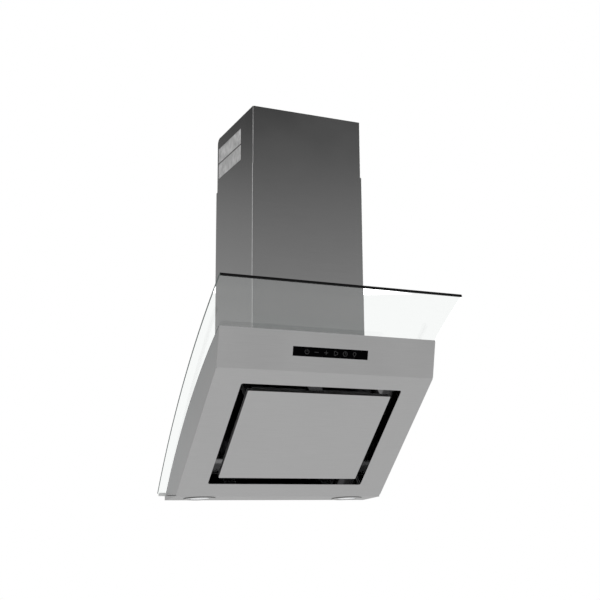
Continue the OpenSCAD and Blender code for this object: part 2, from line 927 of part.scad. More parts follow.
// Scroll: a spiral that opens from the tongue to a square mouth under the outlet
scroll_steps = 40;

// Points of the spiral, from the tongue round to the front of the throat
function spiral(wall) = [for (i = [0:scroll_steps])
  let (a = tongue_a - scroll_sweep * i / scroll_steps,
    r = scroll_r0 + scroll_growth * i / scroll_steps - wall)
  [r * cos(a), r * sin(a)]];

module scroll_outside() {
  top = mouth_top - blower_z;
  polygon(concat(spiral(0), [[-scroll_r1, top], [-throat_y, top]]));
}

module scroll_inside() {
  top = mouth_top - blower_z + cut;
  back = -throat_y - scroll_t;
  polygon(concat(spiral(scroll_t), [[-scroll_r1 + scroll_t, top], [back, top],
    [back, (scroll_r0 - scroll_t) * sin(tongue_a)]]));
}

module at_blower() {
  translate([0, -blower_y, blower_z]) children();
}

// Lap of the scroll's inlets over the wheel
inlet_lap = 12;
inlet_r = wheel_r - inlet_lap;
bell_t = 2;
bell_h = 6;

module scroll_half_shell(side) {
  flange_x = collar_screw_x + mouth_margin;
  bell_x = scroll_half - scroll_t / 2;
  bell_l = bell_h + scroll_t / 2;
  difference() {
    union() {
      at_blower() across(scroll_half, side * scroll_half / 2) scroll_outside();
      at_blower() translate([side * (bell_x + bell_l / 2), 0, 0]) rotate([0, 90, 0])
        cylinder(h = bell_l, r = inlet_r + bell_t, center = true);
      translate([side * flange_x / 2 - flange_x / 2, -outlet_y - flange_x, mouth_top - scroll_t])
        cube([flange_x, 2 * flange_x, scroll_t]);
    }
    at_blower() across(2 * (scroll_half - scroll_t)) scroll_inside();
    at_blower() rotate([0, 90, 0]) cylinder(h = 2 * scroll_half + 4 * bell_h, r = inlet_r, center = true);
    at_collar_screws() translate([0, 0, -box_t - scroll_t - cut])
      cylinder(h = scroll_t + 2 * cut, r = collar_screw_r + screw_gap);
  }
}

module scroll_left() {
  color("#3b3e42") scroll_half_shell(-1);
}

module scroll_right() {
  color("#43464a") scroll_half_shell(1);
}

// Double-inlet wheel with forward-curved blades between a middle disc and two end rings
ring_lip = 1;
blade_in_r = inlet_r - ring_lip;
blade_t = 1;
blade_r = 11;
end_ring_t = 2;
blade_w = wheel_w - end_ring_t;
mid_t = 2;
hub_r = 12;
hub_w = 24;
shaft_r = 4;
shaft_tail = 72;
shaft_nose = 14;

blade_steps = 5;
blade_inset = 1;
blade_mid = (wheel_r + blade_in_r) / 2;
blade_a = asin(((wheel_r - blade_in_r) / 2 - blade_inset) / blade_r);

// Points of an arc about the middle of the blade ring, from one blade end to the other
function blade_arc(r) = [for (i = [0:blade_steps])
  let (a = 180 - blade_a + 2 * blade_a * i / blade_steps) [r * cos(a), blade_mid + r * sin(a)]];

module blade_outline() {
  inner = blade_arc(blade_r - blade_t);
  polygon(concat(blade_arc(blade_r), [for (i = [blade_steps:-1:0]) inner[i]]));
}

module impeller() {
  color("#55585c") at_blower() rotate([0, 90, 0]) difference() {
    union() {
      for (i = [0:blade_count - 1]) {
        rotate([0, 0, 360 * i / blade_count]) translate([0, 0, -blade_w / 2])
          linear_extrude(blade_w) blade_outline();
      }
      translate([0, 0, -mid_t / 2]) cylinder(h = mid_t, r = wheel_r);
      for (z = [-wheel_w / 2, wheel_w / 2 - end_ring_t]) {
        translate([0, 0, z]) tube(wheel_r, blade_in_r, end_ring_t);
      }
      translate([0, 0, -hub_w / 2]) cylinder(h = hub_w, r = hub_r);
    }
    translate([0, 0, -wheel_w]) cylinder(h = 2 * wheel_w, r = shaft_r);
  }
}

module motor_shaft() {
  color("#cfd2d4") at_blower() translate([-shaft_tail, 0, 0]) rotate([0, 90, 0])
    cylinder(h = shaft_tail + shaft_nose, r = shaft_r);
}

// Motor in the left inlet, held by a three-armed bracket
motor_back = 100;
motor_front = 30;
motor_end_t = 8;
motor_shoulder = 4;
motor_end_r = motor_r - motor_shoulder;

module motor() {
  color("#6a6e72") at_blower() translate([-motor_back, 0, 0]) rotate([0, 90, 0]) difference() {
    union() {
      translate([0, 0, motor_end_t]) cylinder(h = motor_back - motor_front - 2 * motor_end_t, r = motor_r);
      cylinder(h = motor_back - motor_front, r = motor_end_r);
    }
    translate([0, 0, motor_back - shaft_tail]) cylinder(h = shaft_tail, r = shaft_r + run_gap);
  }
}

arm_count = 3;
arm_w = 12;
arm_t = 3;
clamp_t = 3;
clamp_w = 15;
mount_ring_gap = 1;
mount_ring_w = 13;
mount_ring_in = inlet_r + bell_t + mount_ring_gap;
mount_ring_out = mount_ring_in + mount_ring_w;

module motor_bracket() {
  ring_z = -scroll_half - arm_t;
  arm_z = ring_z - bell_h - arm_t;
  color("#85898c") at_blower() rotate([0, 90, 0]) difference() {
    union() {
      translate([0, 0, ring_z]) cylinder(h = arm_t, r = mount_ring_out);
      translate([0, 0, arm_z + arm_t - clamp_w]) cylinder(h = clamp_w, r = motor_r + clamp_t);
      for (i = [0:arm_count - 1]) {
        rotate([0, 0, 360 * i / arm_count]) translate([0, -arm_w / 2, arm_z]) {
          cube([mount_ring_out - arm_t, arm_w, arm_t]);
          translate([mount_ring_in - arm_t, 0, 0]) cube([mount_ring_w, arm_w, ring_z - arm_z + arm_t / 2]);
        }
      }
    }
    translate([0, 0, arm_z - clamp_w]) cylinder(h = clamp_w + scroll_half, r = motor_r);
    translate([0, 0, arm_z + arm_t]) cylinder(h = scroll_half, r = mount_ring_in);
  }
}

// Electrical pieces on the air box's top, between the collar and the wall
side_margin = 2;
middle_margin = 5;
terminal_w = 90;
terminal_d = 28;
terminal_h = 40;
terminal_r = 3;
capacitor_r = 12.5;
capacitor_l = 70;
strap_w = 12;
strap_t = 1.5;
gland_r = 8;
gland_h = 14;
gland_nut_r = 11;
gland_nut_h = 6;
cable_r = 4;
electric_y = side_margin + terminal_d / 2;

module terminal_box() {
  color("#2f3133") translate([middle_margin + terminal_w / 2, -electric_y, box_top])
    linear_extrude(terminal_h) round_plate(terminal_w, terminal_d, terminal_r);
}

module cable_gland() {
  color("#1a1b1c") translate([middle_margin + terminal_w / 2, -electric_y, box_top + terminal_h])
    difference() {
      union() {
        cylinder(h = gland_nut_h, r = gland_nut_r, $fn = 6);
        cylinder(h = gland_h, r = gland_r);
      }
      translate([0, 0, -cut]) cylinder(h = gland_h + 2 * cut, r = cable_r);
    }
}

module capacitor() {
  axis_z = capacitor_r + strap_t;
  color("#dcdcd8") translate([-middle_margin - capacitor_l / 2, -electric_y, box_top]) {
    translate([0, 0, axis_z]) rotate([0, 90, 0]) {
      cylinder(h = capacitor_l, r = capacitor_r, center = true);
      cylinder(h = strap_w, r = axis_z, center = true);
    }
    translate([-strap_w / 2, -capacitor_r, 0]) cube([strap_w, 2 * capacitor_r, axis_z]);
  }
}

// Outlet collar with two damper flaps on one pin
flap_z = 14;
flap_t = 1.2;
flap_gap = 0.7;
flap_pin_r = 1.5;
knuckle_r = 3;
knuckle_w = 30;
knuckle_gap = 0.5;
flap_edge = 0.4;
stop_w = 5;
stop_near = 9;
stop_far = 20;

// Outline of the rib that stops both flaps when they stand open
module stop_outline() {
  along = [cos(flap_open), sin(flap_open)];
  off = (flap_t / 2 + pass_gap) * left_of(along);
  near = stop_near * along + off;
  far = stop_far * along + off;
  polygon([near, far, [-far[0], far[1]], [-near[0], near[1]]]);
}

module outlet_collar() {
  color("#26282a") at_outlet() difference() {
    union() {
      tube(collar_r, collar_r - collar_t, collar_h);
      difference() {
        linear_extrude(collar_flange_t)
          round_plate(2 * (collar_r + collar_flange), 2 * (collar_r + collar_flange_lip), collar_flange);
        translate([0, 0, -cut]) cylinder(h = collar_flange_t + 2 * cut, r = collar_r - collar_t);
      }
      pair(collar_r - (collar_t + stop_w) / 2) translate([0, 0, flap_z]) across(stop_w) stop_outline();
    }
    translate([-collar_r - cut, 0, flap_z]) rotate([0, 90, 0])
      cylinder(h = 2 * (collar_r + cut), r = flap_pin_r);
    for (sx = [-1, 1], sy = [-1, 1]) {
      translate([sx * collar_screw_x, sy * collar_screw_x, -cut])
        cylinder(h = collar_flange_t + 2 * cut, r = collar_screw_r + screw_gap);
    }
  }
}

module collar_screws() {
  color("#8a8d90") at_collar_screws() {
    translate([0, 0, collar_flange_t]) cylinder(h = body_head_h, r = body_head_r);
    translate([0, 0, -box_t - scroll_t - screw_tip])
      cylinder(h = collar_flange_t + box_t + scroll_t + screw_tip + body_head_h / 2, r = collar_screw_r);
  }
}

module flap_pin() {
  color("#c9cbcc") at_outlet() translate([-collar_r, 0, flap_z]) rotate([0, 90, 0])
    cylinder(h = 2 * collar_r, r = flap_pin_r);
}

// One flap: side is -1 for the front half and 1 for the back half
module flap(side) {
  reach = collar_r - collar_t - flap_gap;
  edge = knuckle_r + flap_edge;
  starts = side < 0 ? [-2, 0] : [-1, 1];
  at_outlet() translate([0, 0, flap_z]) difference() {
    union() {
      intersection() {
        translate([0, 0, -flap_t / 2]) cylinder(h = flap_t, r = reach);
        translate([-reach, side < 0 ? -reach : edge, -flap_t / 2]) cube([2 * reach, reach - edge, flap_t]);
      }
      for (k = starts) {
        translate([k * knuckle_w + knuckle_gap, 0, 0]) {
          rotate([0, 90, 0]) cylinder(h = knuckle_w - 2 * knuckle_gap, r = knuckle_r);
          translate([0, side < 0 ? -edge - flap_t : 0, -flap_t / 2])
            cube([knuckle_w - 2 * knuckle_gap, edge + flap_t, flap_t]);
        }
      }
    }
    translate([-reach, 0, 0]) rotate([0, 90, 0]) cylinder(h = 2 * reach, r = flap_pin_r + run_gap);
  }
}

module flap_front() {
  color("#d9d9d5") flap(-1);
}

module flap_rear() {
  color("#cfcfca") flap(1);
}

// Plan of a chimney cover, open to the wall, with returns along it
function cover_path(w, d, back) = [
  [-w / 2 + return_w, -back], [-w / 2, -back], [-w / 2, -d],
  [w / 2, -d], [w / 2, -back], [w / 2 - return_w, -back]];

gasket_t = 2;
gasket_w = 3;
foot_r = glass_r + glass_t + gasket_t;
upper_w = chimney_w - 2 * (chimney_t + slide_side_gap);
upper_d = chimney_d - chimney_t - slide_front_gap;
upper_back = chimney_t + pass_gap;
cover_screw_y = 105;
cover_screw_z = 320;
cover_screw_r = 2;

module chimney_lower() {
  color("#a6a8a9") difference() {
    linear_extrude(step_z) folded(cover_path(chimney_w, chimney_d, 0), chimney_t);
    across(chimney_w + 2 * cut) disc(glass_c, foot_r);
    pair(chimney_w / 2) translate([-cut, -cover_screw_y, cover_screw_z]) rotate([0, 90, 0])
      cylinder(h = 2 * cut, r = cover_screw_r + screw_gap);
  }
}

module chimney_gasket() {
  half = chimney_w / 2;
  color("#131415") intersection() {
    linear_extrude(body_h) folded([[-half, 0], [-half, -chimney_d], [half, -chimney_d], [half, 0]], gasket_w);
    across(chimney_w + 2 * cut) difference() {
      ring(glass_c, glass_r + glass_t, foot_r);
      below(rail_h + seat_h);
    }
  }
}

// Brackets between the air box and the lower cover, below the upper cover's travel
bracket_w = 30;
bracket_h = 40;
bracket_t = 1.5;

module side_bracket() {
  reach = (chimney_w - box_w) / 2 - chimney_t;
  translate([box_w / 2, -cover_screw_y - bracket_w / 2, cover_screw_z - bracket_h / 2]) difference() {
    cube([reach, bracket_w, bracket_h]);
    translate([bracket_t, -cut, bracket_t]) cube([reach - 2 * bracket_t, bracket_w + 2 * cut, bracket_h]);
    translate([reach - 2 * bracket_t, bracket_w / 2, bracket_h / 2]) rotate([0, 90, 0])
      cylinder(h = 3 * bracket_t, r = cover_screw_r + screw_gap);
  }
}

module chimney_brackets() {
  color("#9da1a4") {
    side_bracket();
    mirror([1, 0, 0]) side_bracket();
  }
}

module chimney_screws() {
  color("#c9cbcc") for (s = [-1, 1]) {
    translate([s * chimney_w / 2, -cover_screw_y, cover_screw_z]) rotate([0, s * 90, 0]) {
      cylinder(h = body_head_h, r = body_head_r);
      translate([0, 0, -chimney_t - bracket_t - screw_tip])
        cylinder(h = chimney_t + bracket_t + screw_tip + body_head_h / 2, r = cover_screw_r);
    }
  }
}

// Vents of the upper cover: two windows on each side, one above the other
vent_drop = 29;
vent_l = 168;
vent_h = 40;
vent_bar = 3;
vent_back = 8;
vent_lap = 5;
vent_t = 1.5;
slot_w = 3;
slot_pitch = 6;
slot_margin = 4;
corner_r = 15;
vent_z0 = chimney_top - vent_drop - 2 * vent_h - vent_bar;

module vent_windows() {
  for (row = [0, 1]) {
    translate([-vent_back - vent_l, vent_z0 + row * (vent_h + vent_bar)]) square([vent_l, vent_h]);
  }
}

module chimney_upper() {
  color("#8e9091") difference() {
    translate([0, 0, chimney_top - upper_l]) linear_extrude(upper_l)
      folded(cover_path(upper_w, upper_d, upper_back), chimney_t);
    across(upper_w + 2 * cut) vent_windows();
    across(upper_w + 2 * cut) difference() {
      translate([-upper_back - corner_r, chimney_top - corner_r]) square([corner_r + cut, corner_r + cut]);
      translate([-upper_back - corner_r, chimney_top - corner_r]) circle(corner_r);
    }
  }
}

module vent_grille(side) {
  slots = floor((vent_l - 2 * slot_margin) / slot_pitch);
  x = side * (upper_w / 2 - chimney_t - vent_t / 2);
  color("#b3b5b5") across(vent_t, x) difference() {
    translate([-vent_back - vent_l - vent_lap, vent_z0 - vent_lap])
      square([vent_l + 2 * vent_lap, 2 * vent_h + vent_bar + 2 * vent_lap]);
    for (row = [0, 1], i = [0:slots - 1]) {
      translate([-vent_back - slot_margin - (i + 1) * slot_pitch + slot_w,
        vent_z0 + row * (vent_h + vent_bar) + slot_margin / 2])
        square([slot_w, vent_h - slot_margin]);
    }
  }
}

module vent_grille_left() { vent_grille(-1); }
module vent_grille_right() { vent_grille(1); }

// Bracket that carries the upper cover at the wall
top_bracket_h = 18;
top_bracket_drop = 4;
top_plate_half = 110;
top_step = 15;
top_ear = 45;
top_slant = 8;

module top_bracket() {
  half = upper_w / 2 - chimney_t;
  path = [[half, -top_ear], [half, -top_step], [top_plate_half + top_slant, -top_step], [top_plate_half, 0],
    [-top_plate_half, 0], [-top_plate_half - top_slant, -top_step], [-half, -top_step], [-half, -top_ear]];
  color("#a3a7aa") difference() {
    translate([0, 0, chimney_top - top_bracket_drop - top_bracket_h]) linear_extrude(top_bracket_h)
      folded(path, bracket_t);
    for (s = [-1, 1]) {
      wall_hole(s * hang_w / 2, chimney_top - top_bracket_drop - top_bracket_h / 2, fix_r);
    }
  }
}

casing();
fascia();
intake_frame();
filter_frame();
filter_mesh();
filter_latch();
intake_panel();
panel_leaves();
panel_studs();
hinge_brackets();
hinge_pins();
catch_keepers();
touch_glass();
control_housing();
control_board();
touch_pads();
lamp_rim_left();
lamp_rim_right();
lamp_lens_left();
lamp_lens_right();
led_module_left();
led_module_right();
led_driver();
glass_canopy();
glass_seats();
casing_seals();
glass_spacers();
glass_washers();
glass_screws();
glass_nuts();
air_box();
body_screws();
scroll_left();
scroll_right();
impeller();
motor_shaft();
motor();
motor_bracket();
capacitor();
terminal_box();
cable_gland();
outlet_collar();
collar_screws();
flap_pin();
flap_front();
flap_rear();
chimney_lower();
chimney_gasket();
chimney_brackets();
chimney_screws();
chimney_upper();
vent_grille_left();
vent_grille_right();
top_bracket();
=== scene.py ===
# %% [markdown]
# # Inclined wall hood with a curved glass canopy
# A wall hood is mostly folded stainless sheet. Its face leans at about 45 degrees over the hob,
# a sheet of curved glass stands behind and above it, and a two-part cover hides the duct.
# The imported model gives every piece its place, and this notebook dresses those pieces.

import json
import math

import bmesh
import bpy
from mathutils import Matrix, Vector


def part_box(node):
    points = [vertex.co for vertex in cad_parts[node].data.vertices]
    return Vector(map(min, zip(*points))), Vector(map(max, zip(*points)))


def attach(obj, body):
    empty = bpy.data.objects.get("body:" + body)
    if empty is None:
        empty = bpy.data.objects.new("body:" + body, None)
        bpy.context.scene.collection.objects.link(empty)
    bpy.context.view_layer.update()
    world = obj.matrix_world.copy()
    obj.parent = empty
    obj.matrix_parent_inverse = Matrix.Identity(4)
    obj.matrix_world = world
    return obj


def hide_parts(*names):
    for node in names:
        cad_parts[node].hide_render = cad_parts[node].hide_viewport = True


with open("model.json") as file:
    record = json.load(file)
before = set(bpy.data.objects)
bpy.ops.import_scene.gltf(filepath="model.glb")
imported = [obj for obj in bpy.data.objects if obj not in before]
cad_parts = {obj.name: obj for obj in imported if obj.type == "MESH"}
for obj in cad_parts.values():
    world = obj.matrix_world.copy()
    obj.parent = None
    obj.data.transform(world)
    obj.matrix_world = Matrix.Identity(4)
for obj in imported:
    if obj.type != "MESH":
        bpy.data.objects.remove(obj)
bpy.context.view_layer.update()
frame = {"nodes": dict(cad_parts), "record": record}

# %% [markdown]
# ## Helpers for meshes
# Lengths on a kitchen appliance are in millimetres and Blender works in metres, so one
# function converts them. A new piece is always a mesh whose place is in its own points.

# %% Units and new objects
MM = 0.001


def mm(*values):
    """Millimetres to metres: one value, or several as a vector."""
    return values[0] * MM if len(values) == 1 else Vector(values) * MM


def new_object(name, data):
    """An object in the scene for a mesh, a camera or a lamp."""
    piece = bpy.data.objects.new(name, data)
    bpy.context.scene.collection.objects.link(piece)
    return piece


def mesh_object(name, bm):
    """An object from a bmesh, which is freed."""
    mesh = bpy.data.meshes.new(name)
    bm.to_mesh(mesh)
    bm.free()
    return new_object(name, mesh)


def shade_by_angle(mesh, degrees):
    """Smooth shading, broken at edges sharper than the angle."""
    mesh.polygons.foreach_set("use_smooth", [True] * len(mesh.polygons))
    mesh.set_sharp_from_angle(angle=math.radians(degrees))


# %% [markdown]
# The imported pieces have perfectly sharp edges, and real sheet metal never has: a press brake
# leaves a small bend radius, and cut edges are broken with a file. The radius is what catches
# the light along a fold. `soften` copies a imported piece, merges its loose triangles, rounds the
# folds that a test picks with a wide radius, and breaks all other edges with a Bevel modifier.

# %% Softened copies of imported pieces
MERGE_GAP, FLAT_ANGLE = mm(0.01), math.radians(0.3)
SHARP_ANGLE, SMOOTH_ANGLE = 35, 32
FOLD_STEPS, FACE_WEIGHT = 4, 100
slot_of = {s["node"]: s["material_slot"] for s in frame["record"]["subparts"]}


def body_of_node(node):
    return next(b for b, nodes in frame["record"]["behaviour"]["bodies"].items() if node in nodes)


def merged_copy(node):
    """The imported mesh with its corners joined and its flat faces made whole."""
    bm = bmesh.new()
    bm.from_mesh(frame["nodes"][node].data)
    bmesh.ops.remove_doubles(bm, verts=bm.verts, dist=MERGE_GAP)
    bmesh.ops.dissolve_limit(bm, angle_limit=FLAT_ANGLE, verts=bm.verts, edges=bm.edges,
                             delimit={"NORMAL"})
    return bm


def baked(piece):
    """The piece with its modifiers applied, as a plain mesh of the same name."""
    graph = bpy.context.evaluated_depsgraph_get()
    mesh = bpy.data.meshes.new_from_object(piece.evaluated_get(graph), depsgraph=graph)
    name = piece.name
    bpy.data.objects.remove(piece)
    mesh.name = name
    return new_object(name, mesh)


def soften(node, width, fold=None, fold_r=0, segments=2, angle=SHARP_ANGLE):
    """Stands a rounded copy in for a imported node. fold(a, b) picks edges by their end points."""
    bm = merged_copy(node)
    if fold:
        chosen = [e for e in bm.edges if e.calc_face_angle(0) > math.radians(angle)
                  and fold(e.verts[0].co / MM, e.verts[1].co / MM)]
        bmesh.ops.bevel(bm, geom=chosen, offset=mm(fold_r), offset_type="OFFSET",
                        segments=FOLD_STEPS, profile=0.5, affect="EDGES", clamp_overlap=True)
    piece = mesh_object(node + "_sheet", bm)
    shade_by_angle(piece.data, SMOOTH_ANGLE)
    bevel = piece.modifiers.new("edges", "BEVEL")
    bevel.width = mm(width)
    bevel.segments = segments
    bevel.limit_method = "ANGLE"
    bevel.angle_limit = math.radians(angle)
    even = piece.modifiers.new("flat faces", "WEIGHTED_NORMAL")
    even.keep_sharp = True
    even.weight = FACE_WEIGHT
    piece = baked(piece)
    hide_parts(node)
    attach(piece, body_of_node(node))
    print(f"{piece.name}: {len(piece.data.polygons)} faces, edges {width} mm, folds {fold_r} mm")
    return piece


# %% [markdown]
# ## Helpers for materials
# Colours are picked as sRGB hex values, and shaders want linear ones, so one function turns
# them. A second small function adds any node with its settings and its links.

# %% Colour and node helpers
def linear(hex_colour):
    """An sRGB hex colour as the linear RGBA that a shader reads."""
    parts = [int(hex_colour[i:i + 2], 16) / 255 for i in (1, 3, 5)]
    return tuple(c / 12.92 if c <= 0.04045 else ((c + 0.055) / 1.055) ** 2.4 for c in parts) + (1,)


def add(tree, kind, inputs={}, **settings):
    """Adds a node. inputs gives each socket a value, or another node's output to link from."""
    node = tree.nodes.new(kind)
    for key, value in settings.items():
        setattr(node, key, value)
    for key, value in inputs.items():
        if isinstance(value, bpy.types.NodeSocket):
            tree.links.new(value, node.inputs[key])
        else:
            node.inputs[key].default_value = value
    return node


def new_material(name):
    """A material with nothing but its output, and its tree."""
    material = bpy.data.materials.new(name)
    material.use_nodes = True
    tree = material.node_tree
    tree.nodes.clear()
    return material, tree


def surface(tree, shader):
    """Makes the shader the material's surface."""
    add(tree, "ShaderNodeOutputMaterial", {"Surface": shader.outputs[0]})


# %% [markdown]
# ## Stainless steel
# The sheet is 430 or 304 stainless with a satin brushed finish: a belt drags fine parallel
# scratches along the sheet. They blur reflections and give faint streaks of brightness. The
# scratches are about 0.05 mm apart, too fine to show in the picture, so they are drawn 0.8 mm
# apart and 60 mm long. On the faces that look sideways the belt ran upwards, so the pattern is
# chosen by the face's own direction: a face whose normal is over 0.7 along x looks sideways.

# %% Brushed stainless
STROKE_GAP, STROKE_LENGTH, STROKE_DEPTH = mm(0.8), mm(60), mm(0.1)
CLOUD, CLOUD_SPREAD = mm(140), 0.03
NOISE_LOW, NOISE_HIGH = 0.3, 0.7
SIDEWAYS = 0.7


def brushed(name, colour, roughness, streak=0.05):
    """Belt-brushed steel: strokes in its tone and relief, slow clouds in its gloss."""
    material, tree = new_material(name)
    place = add(tree, "ShaderNodeTexCoord")
    fine, coarse = 1 / STROKE_GAP, 1 / STROKE_LENGTH
    along_x = add(tree, "ShaderNodeMapping", {
        "Vector": place.outputs["Object"], "Scale": (coarse, fine, fine)})
    along_z = add(tree, "ShaderNodeMapping", {
        "Vector": place.outputs["Object"], "Scale": (fine, fine, coarse)})
    axis = add(tree, "ShaderNodeSeparateXYZ", {0: place.outputs["Normal"]})
    side = add(tree, "ShaderNodeMath", {0: axis.outputs["X"]}, operation="ABSOLUTE")
    chosen = add(tree, "ShaderNodeMath", {0: side.outputs[0], 1: SIDEWAYS}, operation="GREATER_THAN")
    pattern = add(tree, "ShaderNodeMix", {
        "Factor": chosen.outputs[0], 4: along_x.outputs[0], 5: along_z.outputs[0]},
        data_type="VECTOR")
    strokes = add(tree, "ShaderNodeTexNoise", {
        "Vector": pattern.outputs[1], "Scale": 1.0, "Detail": 3.0, "Roughness": 0.6})
    clouds = add(tree, "ShaderNodeTexNoise", {
        "Vector": place.outputs["Object"], "Scale": 1 / CLOUD, "Detail": 2.0})
    tone = add(tree, "ShaderNodeMapRange", {
        "Value": strokes.outputs["Fac"], "From Min": NOISE_LOW, "From Max": NOISE_HIGH,
        "To Min": 1 - streak, "To Max": 1 + streak})
    base = add(tree, "ShaderNodeMix", {
        "Factor": 1.0, 6: linear(colour), 7: tone.outputs[0]},
        data_type="RGBA", blend_type="MULTIPLY")
    rough = add(tree, "ShaderNodeMapRange", {
        "Value": clouds.outputs["Fac"], "From Min": NOISE_LOW, "From Max": NOISE_HIGH,
        "To Min": roughness - CLOUD_SPREAD, "To Max": roughness + CLOUD_SPREAD})
    bump = add(tree, "ShaderNodeBump", {
        "Strength": 0.02, "Distance": STROKE_DEPTH, "Height": strokes.outputs["Fac"]})
    shader = add(tree, "ShaderNodeBsdfPrincipled", {
        "Base Color": base.outputs[2], "Metallic": 1.0, "Roughness": rough.outputs[0],
        "Normal": bump.outputs[0]})
    surface(tree, shader)
    return material


body_steel = brushed("satin_stainless_body", "#cbcbcb", 0.34, streak=0.03)
panel_steel = brushed("satin_stainless_panel", "#cbcbcb", 0.34, streak=0.03)
chimney_steel = brushed("satin_stainless_chimney", "#bababa", 0.18, streak=0.03)
rim_steel = brushed("turned_stainless_rim", "#cbcbcb", 0.3)
# The rim's outer wall is a dark copy of the steel: painted shade, so it reads as a thin dark line.
rim_wall_painted_shade = brushed("blackened_rim_wall", "#2f3031", 0.35)
print("steels:", body_steel.name, chimney_steel.name)

# %% [markdown]
# ## Zinc, aluminium and bright screws
# The air box and the brackets are hot-dip galvanised sheet. The zinc freezes in flat crystals
# 5 to 15 mm wide, the spangle, and each crystal reflects a little differently. Voronoi cells
# of 9 mm give that. The filter is plain aluminium, and the screws are bright zinc plate. The
# intake frame is black chrome: it mirrors the dark inside of the gap and, near the corners,
# some of the bright room.

# %% Galvanised sheet, aluminium and zinc plate
def spangled(name, colour, cell):
    """Galvanised sheet: each crystal has its own tone and gloss."""
    material, tree = new_material(name)
    place = add(tree, "ShaderNodeTexCoord")
    cells = add(tree, "ShaderNodeTexVoronoi", {
        "Vector": place.outputs["Object"], "Scale": 1 / cell, "Randomness": 1.0})
    grey = add(tree, "ShaderNodeRGBToBW", {0: cells.outputs["Color"]})
    tone = add(tree, "ShaderNodeMapRange", {
        "Value": grey.outputs[0], "To Min": 0.82, "To Max": 1.12})
    base = add(tree, "ShaderNodeMix", {
        "Factor": 1.0, 6: linear(colour), 7: tone.outputs[0]},
        data_type="RGBA", blend_type="MULTIPLY")
    rough = add(tree, "ShaderNodeMapRange", {
        "Value": grey.outputs[0], "To Min": 0.32, "To Max": 0.5})
    shader = add(tree, "ShaderNodeBsdfPrincipled", {
        "Base Color": base.outputs[2], "Metallic": 1.0, "Roughness": rough.outputs[0]})
    surface(tree, shader)
    return material


def plain_metal(name, colour, roughness, grain, relief=0.05):
    """Rolled, cast or plated metal: a fine grain in its gloss and its relief."""
    material, tree = new_material(name)
    place = add(tree, "ShaderNodeTexCoord")
    noise = add(tree, "ShaderNodeTexNoise", {
        "Vector": place.outputs["Object"], "Scale": 1 / grain, "Detail": 4.0})
    rough = add(tree, "ShaderNodeMapRange", {
        "Value": noise.outputs["Fac"], "To Min": roughness * 0.75, "To Max": roughness * 1.25})
    bump = add(tree, "ShaderNodeBump", {
        "Strength": relief, "Distance": mm(0.1), "Height": noise.outputs["Fac"]})
    shader = add(tree, "ShaderNodeBsdfPrincipled", {
        "Base Color": linear(colour), "Metallic": 1.0, "Roughness": rough.outputs[0],
        "Normal": bump.outputs[0]})
    surface(tree, shader)
    return material


galvanised = spangled("galvanised_sheet", "#c6cacc", mm(9))
aluminium = plain_metal("plain_aluminium", "#d3d5d7", 0.34, mm(1.2))
sink_aluminium = plain_metal("extruded_aluminium", "#b4b7ba", 0.4, mm(0.8))
zinc_plate = plain_metal("bright_zinc_plate", "#cfd1d2", 0.22, mm(2))
black_chrome = plain_metal("black_chrome", "#848485", 0.11, mm(1.6), relief=0.01)
brass = plain_metal("contact_brass", "#c9a35c", 0.28, mm(1))

# %% [markdown]
# ## Plastics, paint and rubber
# The housings are moulded ABS and polypropylene with a spark-eroded grain of about 0.4 mm,
# drawn at 0.8 mm. Rubber is matt and absorbs nearly all light.

# %% Moulded plastic, black paint and rubber
def moulded(name, colour, roughness, grain=mm(0.8), relief=0.08, gloss=0.5,
            patch=mm(60), mottle=0.08):
    """Plastic, paint or rubber: a grain in its gloss and relief, slow patches in its tone."""
    material, tree = new_material(name)
    place = add(tree, "ShaderNodeTexCoord")
    noise = add(tree, "ShaderNodeTexNoise", {
        "Vector": place.outputs["Object"], "Scale": 1 / grain, "Detail": 3.0})
    patches = add(tree, "ShaderNodeTexNoise", {
        "Vector": place.outputs["Object"], "Scale": 1 / patch, "Detail": 2.0})
    tone = add(tree, "ShaderNodeMapRange", {
        "Value": patches.outputs["Fac"], "To Min": 1 - mottle, "To Max": 1 + mottle})
    base = add(tree, "ShaderNodeMix", {
        "Factor": 1.0, 6: linear(colour), 7: tone.outputs[0]},
        data_type="RGBA", blend_type="MULTIPLY")
    rough = add(tree, "ShaderNodeMapRange", {
        "Value": noise.outputs["Fac"], "To Min": roughness * 0.85, "To Max": roughness * 1.15})
    bump = add(tree, "ShaderNodeBump", {
        "Strength": relief, "Distance": mm(0.15), "Height": noise.outputs["Fac"]})
    shader = add(tree, "ShaderNodeBsdfPrincipled", {
        "Base Color": base.outputs[2], "Roughness": rough.outputs[0], "Normal": bump.outputs[0],
        "Specular IOR Level": gloss})
    surface(tree, shader)
    return material


black_plastic = moulded("moulded_black_abs", "#1c1d1f", 0.45)
scroll_plastic = moulded("moulded_grey_polypropylene", "#3f4347", 0.5)
white_plastic = moulded("moulded_white_polypropylene", "#dfdfdb", 0.42)
silicone = moulded("clear_silicone", "#e6e8e7", 0.35, grain=mm(1.2), relief=0.05)
rubber = moulded("black_epdm_rubber", "#141516", 0.75, grain=mm(1.2), relief=0.12)
board_green = moulded("solder_mask_green", "#1c5b3b", 0.3, grain=mm(2.5), relief=0.1)
motor_paint = moulded("grey_stoved_paint", "#565a5f", 0.4)
vent_plastic = moulded("punched_grey_plastic", "#c3c3c3", 0.5, grain=mm(2.5), relief=0.1,
                       patch=mm(14), mottle=0.5)
touch_black = moulded("black_printed_glass", "#010102", 0.1, grain=mm(30), relief=0.0,
                      gloss=0.02)
